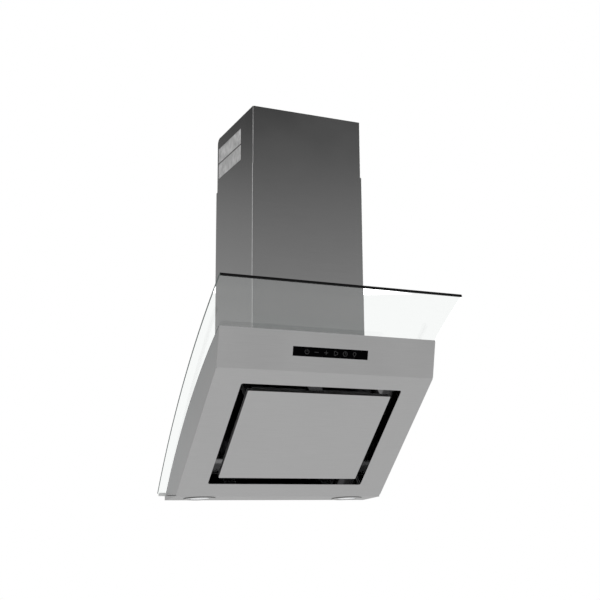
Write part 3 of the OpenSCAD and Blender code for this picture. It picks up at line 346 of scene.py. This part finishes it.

# %% [markdown]
# ## Glass and lamp lenses
# The canopy is 6 mm clear toughened float glass, faintly green from the iron in the melt. Light
# that falls through it on other pieces, or comes by way of steel, passes the pane unbent, so
# the glass throws no dark shadow. A polished edge sends the light sideways, so it looks dark
# against a white wall: that dark look is painted shade, a dark surface that only shows from outside.
# The lamp lenses are frosted polycarbonate. Their diodes are off, and a faint painted glow stands
# for the light that the frost scatters.

# %% Clear glass
glass, tree = new_material("clear_float_glass")
place = add(tree, "ShaderNodeTexCoord")
waves = add(tree, "ShaderNodeTexNoise", {
    "Vector": place.outputs["Object"], "Scale": 1 / mm(180), "Detail": 1.0})
bump = add(tree, "ShaderNodeBump", {
    "Strength": 0.01, "Distance": mm(0.2), "Height": waves.outputs["Fac"]})
pane = add(tree, "ShaderNodeBsdfPrincipled", {
    "Base Color": linear("#fcfefd"), "Roughness": 0.0, "IOR": 1.52, "Transmission Weight": 1.0,
    "Normal": bump.outputs[0]})
clear = add(tree, "ShaderNodeBsdfTransparent", {"Color": linear("#fdfefe")})
ray = add(tree, "ShaderNodeLightPath")
falling = add(tree, "ShaderNodeMath", {
    0: ray.outputs["Is Shadow Ray"], 1: ray.outputs["Is Diffuse Ray"]}, operation="MAXIMUM")
mirrored = add(tree, "ShaderNodeMath", {
    0: ray.outputs["Is Glossy Ray"], 1: ray.outputs["Is Transmission Ray"]}, operation="SUBTRACT")
unbent = add(tree, "ShaderNodeMath", {
    0: falling.outputs[0], 1: mirrored.outputs[0]}, operation="MAXIMUM")
surface(tree, add(tree, "ShaderNodeMixShader", {
    "Fac": unbent.outputs[0], 1: pane.outputs[0], 2: clear.outputs[0]}))


# %% Glass edges
def painted_dark_edge(name, colour, far):
    """A glass edge painted dark from outside, as painted shade; from inside light passes straight
    on.
    """
    material, tree = new_material(name)
    place = add(tree, "ShaderNodeTexCoord")
    noise = add(tree, "ShaderNodeTexNoise", {
        "Vector": place.outputs["Object"], "Scale": 1 / mm(6), "Detail": 3.0})
    tone = add(tree, "ShaderNodeMix", {
        "Factor": noise.outputs["Fac"], 6: linear(colour), 7: linear(far)}, data_type="RGBA")
    outside = add(tree, "ShaderNodeBsdfPrincipled", {
        "Base Color": tone.outputs[2], "Roughness": 0.2, "Specular IOR Level": 0.2})
    inside = add(tree, "ShaderNodeBsdfRefraction", {"Color": linear("#fcfefd"), "IOR": 1.0})
    side = add(tree, "ShaderNodeNewGeometry")
    surface(tree, add(tree, "ShaderNodeMixShader", {
        "Fac": side.outputs["Backfacing"], 1: outside.outputs[0], 2: inside.outputs[0]}))
    return material


# Both edge materials are painted shade: the dark look of a polished glass edge.
top_edge = painted_dark_edge("polished_edge_dark", "#030404", "#070808")
side_edge = painted_dark_edge("polished_edge_grey", "#5b6663", "#4a5552")

# %% Lamp lenses and key print
lens, tree = new_material("frosted_polycarbonate")
place = add(tree, "ShaderNodeTexCoord")
frost = add(tree, "ShaderNodeTexNoise", {
    "Vector": place.outputs["Object"], "Scale": 1 / mm(1.0), "Detail": 3.0})
bump = add(tree, "ShaderNodeBump", {
    "Strength": 0.1, "Distance": mm(0.1), "Height": frost.outputs["Fac"]})
# The emission is a painted glow: the diodes are off and the lens is no lamp.
surface(tree, add(tree, "ShaderNodeBsdfPrincipled", {
    "Base Color": linear("#f1f3f5"), "Roughness": 0.35, "Normal": bump.outputs[0],
    "Emission Color": linear("#f4f6f8"), "Emission Strength": 0.2}))

icon_print, tree = new_material("grey_screen_print")
place = add(tree, "ShaderNodeTexCoord")
grain = add(tree, "ShaderNodeTexNoise", {"Vector": place.outputs["Object"], "Scale": 1 / mm(0.5)})
tone = add(tree, "ShaderNodeMix", {
    "Factor": grain.outputs["Fac"], 6: linear("#181819"), 7: linear("#1e1f20")},
    data_type="RGBA")
surface(tree, add(tree, "ShaderNodeBsdfPrincipled", {
    "Base Color": tone.outputs[2], "Roughness": 0.35, "Coat Weight": 1.0}))

# %% [markdown]
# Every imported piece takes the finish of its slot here, and the pieces that replace some of them
# later take the same. The seats under the glass's foot are clear silicone, not black rubber.
# Metal grain reads object coordinates, and all objects sit at the origin.

# %% A finish for each slot
finish_of = {
    "body_steel": body_steel, "panel_steel": panel_steel, "chimney_steel": chimney_steel,
    "vent_mesh": vent_plastic, "recess_black": black_chrome, "galvanised": galvanised,
    "filter_aluminium": aluminium, "black_plastic": black_plastic, "scroll_plastic": scroll_plastic,
    "white_plastic": white_plastic, "touch_black": touch_black, "clear_glass": glass,
    "lamp_lens": lens, "lamp_steel": rim_steel, "heat_sink": sink_aluminium, "rubber": rubber,
    "bright_steel": zinc_plate, "circuit_board": board_green, "pad_brass": brass,
    "motor_paint": motor_paint}


def finish(piece, *materials):
    """Gives a piece its materials, in the order of their indices."""
    piece.data.materials.clear()
    for material in materials:
        piece.data.materials.append(material)


for node, obj in frame["nodes"].items():
    finish(obj, finish_of[slot_of[node]])
finish(frame["nodes"]["glass_seats"], silicone)
print("finishes:", len(finish_of))

# %% [markdown]
# ## Body
# The front shell is one sheet folded four times, and the casing behind it has welded cheeks.
# The folds get a 0.9 mm radius, and the cut edges of both about 0.3 mm. The two pieces meet at
# a hairline seam, as they do on the real hood.

# %% Front shell and casing
FOLD_RUN = 300


def runs_across(a, b):
    """A fold runs nearly the whole width."""
    return abs(a.x - b.x) > FOLD_RUN


fascia = soften("fascia", 0.25, fold=runs_across, fold_r=0.9)
casing = soften("casing", 0.35, segments=3)
for piece in (fascia, casing):
    finish(piece, body_steel)

# %% [markdown]
# ## Intake panel, frame and filter
# The panel is a shallow folded tray that leaves a gap all round, through which the air goes.
# Its edges are rounded by 0.6 mm. The black frame behind it holds the grease filter.

# %% Panel, frame and filter
finish(soften("intake_panel", 0.6, segments=3), panel_steel)
finish(soften("intake_frame", 0.5), black_chrome)
finish(soften("filter_frame", 0.4), aluminium)
finish(soften("filter_latch", 0.5), black_plastic)

# %% [markdown]
# ## Chimney covers
# Both covers are U-shaped, open to the wall, and bent over a 2.6 mm radius. The lower cover's
# foot follows the glass. Only the two long upright folds at the front get the wide radius.

# %% Lower and upper cover
UPRIGHT_RUN, FRONT_Y, COVER_R = 100, -200, 2.6


def upright_front(a, b):
    """A fold between the cover's front and one of its sides."""
    return abs(a.z - b.z) > UPRIGHT_RUN and a.y < FRONT_Y


for node in ("chimney_lower", "chimney_upper"):
    finish(soften(node, 0.3, fold=upright_front, fold_r=COVER_R), chimney_steel)

# %% [markdown]
# ## Glass canopy
# The pane is one bent sheet with a notch for the chimney. Its arrises are ground by 0.5 mm.
# Faces that look along the arc or sideways are edges, and they are painted dark, as painted shade.
# The last
# 3 mm before the upper edge are painted dark as well, standing in for that edge, which shows through
# the pane there.

# %% Curved glass
GLASS_R, GLASS_CENTRE = 1639.231, Vector((-1357.96, -914.55))
ARC_START, ARC_END = math.radians(34.51), math.radians(57.24)
DARK_STRIP = 3.0
PANE_FACING, SIDE_FACING = 0.8, 0.5


def on_arc(angle, radius):
    """The y and z in millimetres of a point at an angle and radius about the glass's centre."""
    return GLASS_CENTRE.x + radius * math.cos(angle), GLASS_CENTRE.y + radius * math.sin(angle)


canopy = soften("glass_canopy", 0.5, angle=50)
dark_from = ARC_END - DARK_STRIP / GLASS_R
cut = bmesh.new()
cut.from_mesh(canopy.data)
bmesh.ops.bisect_plane(
    cut, geom=cut.verts[:] + cut.edges[:] + cut.faces[:],
    plane_co=mm(0, *on_arc(dark_from, GLASS_R)),
    plane_no=(0, -math.sin(dark_from), math.cos(dark_from)))
cut.to_mesh(canopy.data)
cut.free()
finish(canopy, glass, top_edge, side_edge)
counts = [0, 0, 0]
for face in canopy.data.polygons:
    centre = face.center / MM
    radial = (Vector((centre.y, centre.z)) - GLASS_CENTRE).normalized()
    facing = abs(face.normal.y * radial.x + face.normal.z * radial.y)
    beyond = math.atan2(radial.y, radial.x) > dark_from
    # Edge faces and the top strip get the painted dark edge materials.
    if facing < PANE_FACING or beyond:
        face.material_index = 1 if beyond and abs(face.normal.x) < SIDE_FACING else 2
    counts[face.material_index] += 1
print("glass faces, top edge, other edges:", counts)

# %% [markdown]
# ## Lamps
# Each lamp is a turned steel ring with a frosted lens, pressed into the facet under the hood. The
# ring's flat face is bright, and its low outer wall is painted dark as painted shade, so it reads as
# a thin dark line.

# %% Lamp rims and lenses
FACET_TILT = math.radians(174.9)
FACET_OUT = Vector((0, -math.sin(FACET_TILT), math.cos(FACET_TILT)))
FLAT_FACING, LAMP_ANGLE = 0.95, 40
for side in ("left", "right"):
    rim = soften(f"lamp_rim_{side}", 0.5, segments=3, angle=LAMP_ANGLE)
    finish(rim, rim_steel, rim_wall_painted_shade)
    # Faces that don't face out of the facet get the painted shade.
    for face in rim.data.polygons:
        face.material_index = int(abs(face.normal.dot(FACET_OUT)) < FLAT_FACING)
    finish(soften(f"lamp_lens_{side}", 0.7, segments=3, angle=LAMP_ANGLE), lens)

# %% [markdown]
# ## Touch keys
# Six pictograms are printed behind the black glass: on and off, lower, higher, boost, timer and
# light. They are drawn as flat rings and bars, 0.05 mm proud so that they don't flicker.

# %% Frames on the touch face and on the inclined working face
def sloping(foot, tilt, length):
    """The frame at the middle of a sloping face, from its foot in y and z, tilt and length."""
    return (Matrix.Translation(mm(0, *foot)) @ Matrix.Rotation(math.radians(tilt), 4, "X")
            @ Matrix.Translation(mm(0, length / 2, 0)))


FACE = sloping((-373.417, 280.524), 100.5, 91)
SLOPE = sloping((-90, 8), 136.1224, 393.185)

# %% Rings and bars
LINE, RING_STEPS = 0.9, 24


def ring(bm, x, y, r, start=0, end=360):
    """A flat arc about x, y, from start to end degrees."""
    pairs = []
    for i in range(RING_STEPS + 1):
        a = math.radians(start + (end - start) * i / RING_STEPS)
        pairs.append([bm.verts.new((x + k * math.cos(a), y + k * math.sin(a), 0))
                      for k in (r - LINE / 2, r + LINE / 2)])
    for (a, b), (c, d) in zip(pairs, pairs[1:]):
        bm.faces.new((a, b, d, c))


def bar(bm, x0, y0, x1, y1):
    """A flat straight line between two points."""
    along = Vector((x1 - x0, y1 - y0, 0)).normalized()
    across = Vector((-along.y, along.x, 0)) * LINE / 2
    a, b = Vector((x0, y0, 0)), Vector((x1, y1, 0))
    bm.faces.new([bm.verts.new(p) for p in (a - across, b - across, b + across, a + across)])


# %% Six pictograms
KEY_COUNT, KEY_PITCH, KEY_SIZE = 6, 24, 12.5
TOUCH_PROUD, PRINT_PROUD = 0.2, 0.05
h = KEY_SIZE / 2
keys = bmesh.new()
for i in range(KEY_COUNT):
    x = (i - (KEY_COUNT - 1) / 2) * KEY_PITCH
    if i == 0:
        ring(keys, x, 0, h * 0.8, 125, 415)
        bar(keys, x, 0, x, h)
    elif i == 1:
        bar(keys, x - h * 0.8, 0, x + h * 0.8, 0)
    elif i == 2:
        bar(keys, x - h * 0.8, 0, x + h * 0.8, 0)
        bar(keys, x, -h * 0.8, x, h * 0.8)
    elif i == 3:
        for turn in (0, 120, 240):
            a = math.radians(turn)
            ring(keys, x + h * 0.45 * math.cos(a), h * 0.45 * math.sin(a), h * 0.42,
                 turn - 90, turn + 120)
    elif i == 4:
        ring(keys, x, 0, h * 0.85)
        bar(keys, x, 0, x, h * 0.6)
        bar(keys, x, 0, x + h * 0.45, 0)
    else:
        ring(keys, x, h * 0.15, h * 0.6, -60, 240)
        bar(keys, x - h * 0.28, -h * 0.55, x + h * 0.28, -h * 0.55)
        bar(keys, x - h * 0.2, -h * 0.85, x + h * 0.2, -h * 0.85)
keys.transform(FACE @ Matrix.Translation(mm(0, 0, TOUCH_PROUD + PRINT_PROUD))
               @ Matrix.Scale(MM, 4))
keys = mesh_object("touch_pictograms", keys)
finish(keys, icon_print)
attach(keys, "root")
print("pictograms:", len(keys.data.polygons), "faces")

# %% [markdown]
# ## Vent inserts
# Behind each vent window of the upper cover sits a sheet with small holes, punched in a close
# grid. One tile with a round hole is modelled, and Geometry Nodes set it on every point of a
# grid, because the same tool punches every hole. The tree ends in real geometry, since the
# exported model can't hold instances.

# %% One tile with a hole
TILE, HOLE_R, TILE_CORNERS = 5.0, 1.5, 12
VENT_T, VENT_MARGIN = 1.2, 8


def punched_tile(name):
    """A square tile in y and z with a round hole, thick along x."""
    bm = bmesh.new()
    loops = []
    for x in (-VENT_T / 2, VENT_T / 2):
        outer, inner = [], []
        for i in range(TILE_CORNERS):
            a = 2 * math.pi * i / TILE_CORNERS
            reach = TILE / 2 / max(abs(math.cos(a)), abs(math.sin(a)))
            outer.append(bm.verts.new(mm(x, reach * math.cos(a), reach * math.sin(a))))
            inner.append(bm.verts.new(mm(x, HOLE_R * math.cos(a), HOLE_R * math.sin(a))))
        loops.append((outer, inner))
    (back_out, back_in), (front_out, front_in) = loops
    for i in range(TILE_CORNERS):
        j = (i + 1) % TILE_CORNERS
        bm.faces.new((front_out[i], front_out[j], front_in[j], front_in[i]))
        bm.faces.new((back_out[j], back_out[i], back_in[i], back_in[j]))
        bm.faces.new((front_in[i], front_in[j], back_in[j], back_in[i]))
    return mesh_object(name, bm)


# %% [markdown]
# The tree below is shared by every repeated part: it takes points from an object's corners,
# sets one shape on each, merges what touches, realizes the copies and gives them their finish.

# %% A tree that repeats a shape on points
def repeat_tree(name):
    tree = bpy.data.node_groups.new(name, "GeometryNodeTree")
    for label, kind in (("Points", "Geometry"), ("Shape", "Object"), ("Finish", "Material"),
                        ("Merge distance", "Float")):
        tree.interface.new_socket(label, in_out="INPUT", socket_type="NodeSocket" + kind)
    tree.interface.new_socket("Result", in_out="OUTPUT", socket_type="NodeSocketGeometry")
    given = add(tree, "NodeGroupInput")
    shape = add(tree, "GeometryNodeObjectInfo", {"Object": given.outputs["Shape"]})
    spin = add(tree, "GeometryNodeInputNamedAttribute", {"Name": "turn"}, data_type="FLOAT_VECTOR")
    copies = add(tree, "GeometryNodeInstanceOnPoints", {
        "Points": given.outputs["Points"], "Instance": shape.outputs["Geometry"],
        "Rotation": spin.outputs["Attribute"]})
    solid = add(tree, "GeometryNodeRealizeInstances", {"Geometry": copies.outputs[0]})
    merged = add(tree, "GeometryNodeMergeByDistance", {
        "Geometry": solid.outputs[0], "Distance": given.outputs["Merge distance"]})
    done = add(tree, "GeometryNodeSetMaterial", {
        "Geometry": merged.outputs[0], "Material": given.outputs["Finish"]})
    add(tree, "NodeGroupOutput", {"Result": done.outputs[0]})
    return tree


repeater = repeat_tree("repeat_on_points")
socket_id = {s.name: s.identifier for s in repeater.interface.items_tree if s.in_out == "INPUT"}


def repeat(name, points, shape, material, merge=0.0, turns=None):
    """A plain mesh with the shape set on each point. The shape object is deleted."""
    mesh = bpy.data.meshes.new(name)
    mesh.from_pydata(points, [], [])
    turn = mesh.attributes.new("turn", "FLOAT_VECTOR", "POINT")
    for i, value in enumerate(turns or [(0, 0, 0)] * len(points)):
        turn.data[i].vector = value
    piece = new_object(name, mesh)
    modifier = piece.modifiers.new("repeat", "NODES")
    modifier.node_group = repeater
    modifier[socket_id["Shape"]] = shape
    modifier[socket_id["Finish"]] = material
    modifier[socket_id["Merge distance"]] = merge
    piece = baked(piece)
    bpy.data.objects.remove(shape)
    print(f"{name}: {len(points)} copies, {len(piece.data.polygons)} faces")
    return piece


# %% Punched vent inserts
VENT_L, VENT_H, VENT_BACK, VENT_LAP = 168, 40, 8, 5
VENT_ROWS = (835, 878)
VENT_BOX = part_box("vent_grille_right")
VENT_X = (VENT_BOX[0].x + VENT_BOX[1].x) / 2 / MM
VENT_Y = (-VENT_BACK - VENT_L - VENT_LAP, -VENT_BACK + VENT_LAP)
VENT_Z = (VENT_ROWS[0] - VENT_LAP, VENT_ROWS[1] + VENT_H + VENT_LAP)
bands = ((VENT_Z[0], VENT_ROWS[0]), (VENT_ROWS[0] + VENT_H, VENT_ROWS[1]),
         (VENT_ROWS[1] + VENT_H, VENT_Z[1]))
ends = ((VENT_Y[0], VENT_Y[0] + VENT_LAP + VENT_MARGIN), (VENT_Y[1] - VENT_LAP, VENT_Y[1]))
strips = [(*VENT_Y, *band) for band in bands]
strips += [(*end, z, z + VENT_H) for z in VENT_ROWS for end in ends]


def plate_yz(bm, x, y0, y1, z0, z1):
    """A flat bar from y0 to y1 and z0 to z1."""
    made = bmesh.ops.create_cube(bm, size=1)["verts"]
    size = Matrix.Diagonal((VENT_T * MM, (y1 - y0) * MM, (z1 - z0) * MM, 1))
    middle = Matrix.Translation(mm(x, (y0 + y1) / 2, (z0 + z1) / 2))
    bmesh.ops.transform(bm, matrix=middle @ size, verts=made)


for side, name in ((-1, "left"), (1, "right")):
    x = side * VENT_X
    points = [mm(x, -VENT_BACK - (i + 0.5) * TILE, z + (k + 0.5) * TILE)
              for z in VENT_ROWS for i in range(int((VENT_L - VENT_MARGIN) / TILE))
              for k in range(int(VENT_H / TILE))]
    sheet = repeat(f"vent_sheet_{name}", points, punched_tile("tile"), vent_plastic,
                   merge=mm(0.05))
    border = bmesh.new()
    for strip in strips:
        plate_yz(border, x, *strip)
    border = mesh_object(f"vent_border_{name}", border)
    finish(border, vent_plastic)
    for piece in (sheet, border):
        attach(piece, "chimney_upper")
    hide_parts(f"vent_grille_{name}")

# %% [markdown]
# ## Filter mesh
# The grease filter's pack is several layers of crimped aluminium wire. The top layers are
# modelled as wires in two directions, 3.2 mm apart. They lie on the solid pack, which is
# 1 mm deeper than the face of the filter's frame, and leave the latch's pad free.

# %% Wires over the pack
FILTER_W, FILTER_H, EDGE, PAD_L = 310, 220, 10, 40
FRAME_FACE, FRAME_LIP = 27.8, 1
WIRE_GAP, WIRE_R, WIRE_SIDES = 3.2, 0.55, 5
CRIMP = WIRE_R * 0.5


def crimped_wire(name, length, direction):
    """A wire with a shallow crimp, about the origin, along x or y on the slope."""
    bm = bmesh.new()
    steps = max(2, int(length / (WIRE_GAP * 2)))
    rings = []
    for i in range(steps + 1):
        t = -length / 2 + length * i / steps
        lift = CRIMP * (-1) ** i
        corners = []
        for k in range(WIRE_SIDES):
            a = 2 * math.pi * k / WIRE_SIDES
            u, v = WIRE_R * math.cos(a), WIRE_R * math.sin(a) + lift
            corners.append(bm.verts.new(mm(t, u, v) if direction == "x" else mm(-u, t, v)))
        rings.append(corners)
    for a, b in zip(rings, rings[1:]):
        for k in range(WIRE_SIDES):
            j = (k + 1) % WIRE_SIDES
            bm.faces.new((a[k], b[k], b[j], a[j]))
    bm.faces.new(rings[0])
    bm.faces.new(list(reversed(rings[-1])))
    bmesh.ops.recalc_face_normals(bm, faces=bm.faces)
    return mesh_object(name, bm)


half_w, half_h = FILTER_W / 2 - EDGE, FILTER_H / 2 - EDGE
pad_y = FILTER_H / 2 - PAD_L
layer = -FRAME_FACE - FRAME_LIP + WIRE_R
rows, columns = int((pad_y + half_h) / WIRE_GAP), int(2 * half_w / WIRE_GAP)
across = [mm(0, -half_h + (i + 0.5) * WIRE_GAP, layer) for i in range(rows)]
along = [mm(-half_w + (i + 0.5) * WIRE_GAP, (pad_y - half_h) / 2, layer) for i in range(columns)]
for name, points, length, direction in (("mesh_wires_across", across, 2 * half_w, "x"),
                                        ("mesh_wires_along", along, pad_y + half_h, "y")):
    piece = repeat(name, points, crimped_wire("wire", length, direction), aluminium)
    piece.data.transform(SLOPE)
    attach(piece, "root")

# %% [markdown]
# ## Glass fixings
# Four button-head screws clamp the glass to its stand-offs, two long ones above and two short
# ones below. A button head is a shallow dome with a hexagon socket, so its outline is spun from
# a few points and the socket's wall is drawn to six flats. One screw of each length is modelled,
# and Geometry Nodes set it on both sides.

# %% Button-head screws
GLASS_T, WASHER_T = 6, 2
FIX_X, FIX_SHARES, SHANKS = 200, (0.12, 0.7), (19, 48)
HEAD_R, HEAD_H, SHANK_R, SPIN_STEPS = 8, 4, 2.98, 24
SOCKET_R, SOCKET_D = 2.9, 2.2
HEAD_OUTLINE = ((HEAD_R, 0), (HEAD_R, HEAD_H * 0.25), (HEAD_R * 0.86, HEAD_H * 0.7),
                (HEAD_R * 0.62, HEAD_H * 0.93), (SOCKET_R * 1.12, HEAD_H))


def button_head(name, shank):
    """A domed head on z = 0 with a six-sided socket, and its shank below."""
    bm = bmesh.new()
    turns = [2 * math.pi * i / SPIN_STEPS for i in range(SPIN_STEPS)]
    outline = [(SHANK_R, -shank), (SHANK_R, 0), *HEAD_OUTLINE]
    loops = [[bm.verts.new(mm(a * math.cos(t), a * math.sin(t), z)) for t in turns]
             for a, z in outline]

    def hexagon(z):
        found = []
        for t in turns:
            off = (t + math.pi / 6) % (math.pi / 3) - math.pi / 6
            k = SOCKET_R * math.cos(math.pi / 6) / math.cos(off)
            found.append(bm.verts.new(mm(k * math.cos(t), k * math.sin(t), z)))
        return found

    loops += [hexagon(HEAD_H), hexagon(HEAD_H - SOCKET_D)]
    for a, b in zip(loops, loops[1:]):
        for i in range(SPIN_STEPS):
            j = (i + 1) % SPIN_STEPS
            bm.faces.new((a[i], a[j], b[j], b[i]))
    bm.faces.new(list(reversed(loops[0])))
    bm.faces.new(loops[-1])
    bmesh.ops.recalc_face_normals(bm, faces=bm.faces)
    return mesh_object(name, bm)


def on_glass(share, x, lift):
    """A point over the glass's inner face, and the turn that lays z along its normal."""
    a = ARC_START + share * (ARC_END - ARC_START)
    return mm(x, *on_arc(a, GLASS_R + lift)), (a - math.pi / 2, 0, 0)


heads = []
for row, share, shank in zip(("low", "high"), FIX_SHARES, SHANKS):
    spots = [on_glass(share, x, GLASS_T + WASHER_T) for x in (-FIX_X, FIX_X)]
    heads.append(repeat(f"glass_screws_{row}", [at for at, turn in spots],
                        button_head("head", shank), zinc_plate,
                        turns=[turn for at, turn in spots]))
for piece in heads:
    shade_by_angle(piece.data, SHARP_ANGLE)
    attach(piece, "root")
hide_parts("glass_screws")

# %% [markdown]
# ## Camera
# The photograph was taken from the left and below, as a cook sees the hood. The lens and the
# place come from a fit of the hood's known edges to the picture.

# %% Camera
CAMERA_AT = mm(-995.1, -2460.0, -21.2)
YAW, PITCH, ROLL = (math.radians(a) for a in (23.845, 11.547, -0.32))
LENS, SENSOR, NEAREST = 61.21, 36, 0.05
look = Vector((math.sin(YAW) * math.cos(PITCH), math.cos(YAW) * math.cos(PITCH), math.sin(PITCH)))
level = Vector((math.cos(YAW), -math.sin(YAW), 0))
over = level.cross(look)
right = math.cos(ROLL) * level + math.sin(ROLL) * over
upward = -math.sin(ROLL) * level + math.cos(ROLL) * over
turned = Matrix((right, upward, -look)).transposed().to_4x4()
camera = new_object("camera", bpy.data.cameras.new("camera"))
camera.matrix_world = Matrix.Translation(CAMERA_AT) @ turned
camera.data.lens = LENS
camera.data.sensor_width = SENSOR
camera.data.clip_start = NEAREST
bpy.context.scene.camera = camera
print("camera:", [round(v, 3) for v in camera.location], "lens", LENS)

# %% [markdown]
# ## Light, background and floor
# Satin steel shows its surroundings: here a pale floor below, a grey horizon and a darker
# ceiling, which is why the chimney darkens towards its top. The camera sees plain white, also
# straight through the glass. Diffuse light, and light that was mirrored twice on its way, comes
# from an even pale room. Two large lamps, to the left and behind, shape the sides.

# %% World
world = bpy.data.worlds.new("studio")
bpy.context.scene.world = world
world.use_nodes = True
tree = world.node_tree
tree.nodes.clear()
NEVER_BELOW, TWICE_ABOVE = 0.5, 1.5
ray = add(tree, "ShaderNodeLightPath")
place = add(tree, "ShaderNodeTexCoord")
axis = add(tree, "ShaderNodeSeparateXYZ", {0: place.outputs["Generated"]})
sky = add(tree, "ShaderNodeValToRGB", {"Fac": add(tree, "ShaderNodeMapRange", {
    "Value": axis.outputs["Z"], "From Min": -1.0, "From Max": 1.0}).outputs[0]})
stops = ((0.25, "#c8c8c8"), (0.32, "#989898"), (0.39, "#d8d8d8"), (0.50, "#c0c0c0"),
         (0.585, "#b0b0b0"), (0.61, "#a3a3a3"), (0.645, "#8c8c8c"), (0.685, "#484848"),
         (0.75, "#4a4a4a"), (1.0, "#8c8c8c"))
ramp = sky.color_ramp
while len(ramp.elements) < len(stops):
    ramp.elements.new(0.5)
for element, (share, colour) in zip(ramp.elements, stops):
    element.position = share
    element.color = linear(colour)
bounced = add(tree, "ShaderNodeMath", {
    0: ray.outputs["Glossy Depth"], 1: ray.outputs["Diffuse Depth"]}, operation="ADD")
direct = add(tree, "ShaderNodeMath", {
    0: bounced.outputs[0], 1: NEVER_BELOW}, operation="LESS_THAN")
through = add(tree, "ShaderNodeMath", {
    0: ray.outputs["Is Transmission Ray"], 1: direct.outputs[0]}, operation="MULTIPLY")
seen = add(tree, "ShaderNodeMath", {
    0: ray.outputs["Is Camera Ray"], 1: through.outputs[0]}, operation="MAXIMUM")
twice = add(tree, "ShaderNodeMath", {
    0: ray.outputs["Glossy Depth"], 1: TWICE_ABOVE}, operation="GREATER_THAN")
even = add(tree, "ShaderNodeMath", {
    0: ray.outputs["Is Diffuse Ray"], 1: twice.outputs[0]}, operation="MAXIMUM")
around = add(tree, "ShaderNodeMix", {
    "Factor": even.outputs[0], 6: sky.outputs["Color"], 7: linear("#e4e4e4")}, data_type="RGBA")
colour = add(tree, "ShaderNodeMix", {
    "Factor": seen.outputs[0], 6: around.outputs[2], 7: (1, 1, 1, 1)}, data_type="RGBA")
background = add(tree, "ShaderNodeBackground", {"Color": colour.outputs[2], "Strength": 1.0})
add(tree, "ShaderNodeOutputWorld", {"Surface": background.outputs[0]})

# %% Floor
FLOOR_Z, FLOOR_HALF, FLOOR_GLOW = mm(-1650), mm(3000), 0.7
bm = bmesh.new()
bmesh.ops.create_grid(bm, x_segments=4, y_segments=4, size=FLOOR_HALF)
bm.transform(Matrix.Translation((0, 0, FLOOR_Z)))
floor = mesh_object("floor", bm)
floor_paint, tree = new_material("pale_floor")
ray = add(tree, "ShaderNodeLightPath")
place = add(tree, "ShaderNodeTexCoord")
noise = add(tree, "ShaderNodeTexNoise", {"Vector": place.outputs["Object"], "Scale": 1 / mm(900)})
tone = add(tree, "ShaderNodeMix", {
    "Factor": noise.outputs["Fac"], 6: linear("#d9d9d9"), 7: linear("#dedede")}, data_type="RGBA")
paint = add(tree, "ShaderNodeBsdfPrincipled", {
    "Base Color": tone.outputs[2], "Roughness": 0.6, "Specular IOR Level": 0.1})
seen = add(tree, "ShaderNodeMath", {
    0: ray.outputs["Is Camera Ray"], 1: ray.outputs["Is Transmission Ray"]}, operation="MAXIMUM")
glow = add(tree, "ShaderNodeMath", {0: seen.outputs[0], 1: FLOOR_GLOW}, operation="MULTIPLY")
white = add(tree, "ShaderNodeEmission", {"Color": (1, 1, 1, 1), "Strength": glow.outputs[0]})
surface(tree, add(tree, "ShaderNodeAddShader", {0: paint.outputs[0], 1: white.outputs[0]}))
finish(floor, floor_paint)


# %% Lamps
LAMPS_AIM = Vector((0, -0.2, 0.4))


def lamp(name, at, size, power):
    """A square lamp that looks at the middle of the hood."""
    light = bpy.data.lights.new(name, "AREA")
    light.shape = "RECTANGLE"
    light.size = size
    light.size_y = size
    light.energy = power
    piece = new_object(name, light)
    piece.location = at
    piece.rotation_euler = (LAMPS_AIM - Vector(at)).to_track_quat("-Z", "Y").to_euler()


lamp("left_lamp", (-3.0, -0.8, 1.2), 1.8, 12)
lamp("rear_lamp", (1.5, 2.8, 2.2), 2.0, 30)
bpy.context.scene.view_settings.view_transform = "Standard"

# %% [markdown]
# In the photograph the glass mirrors the even room, and the body below it hardly shows there.
# An object's ray visibility keeps the body's front pieces out of mirror images.

# %% Front pieces that nothing mirrors
inner = ("touch_glass", "touch_pads", "control_board", "control_housing")
front = [fascia, casing, keys] + [frame["nodes"][node] for node in inner]
for piece in front:
    piece.visible_glossy = False
print("not mirrored:", [piece.name for piece in front])
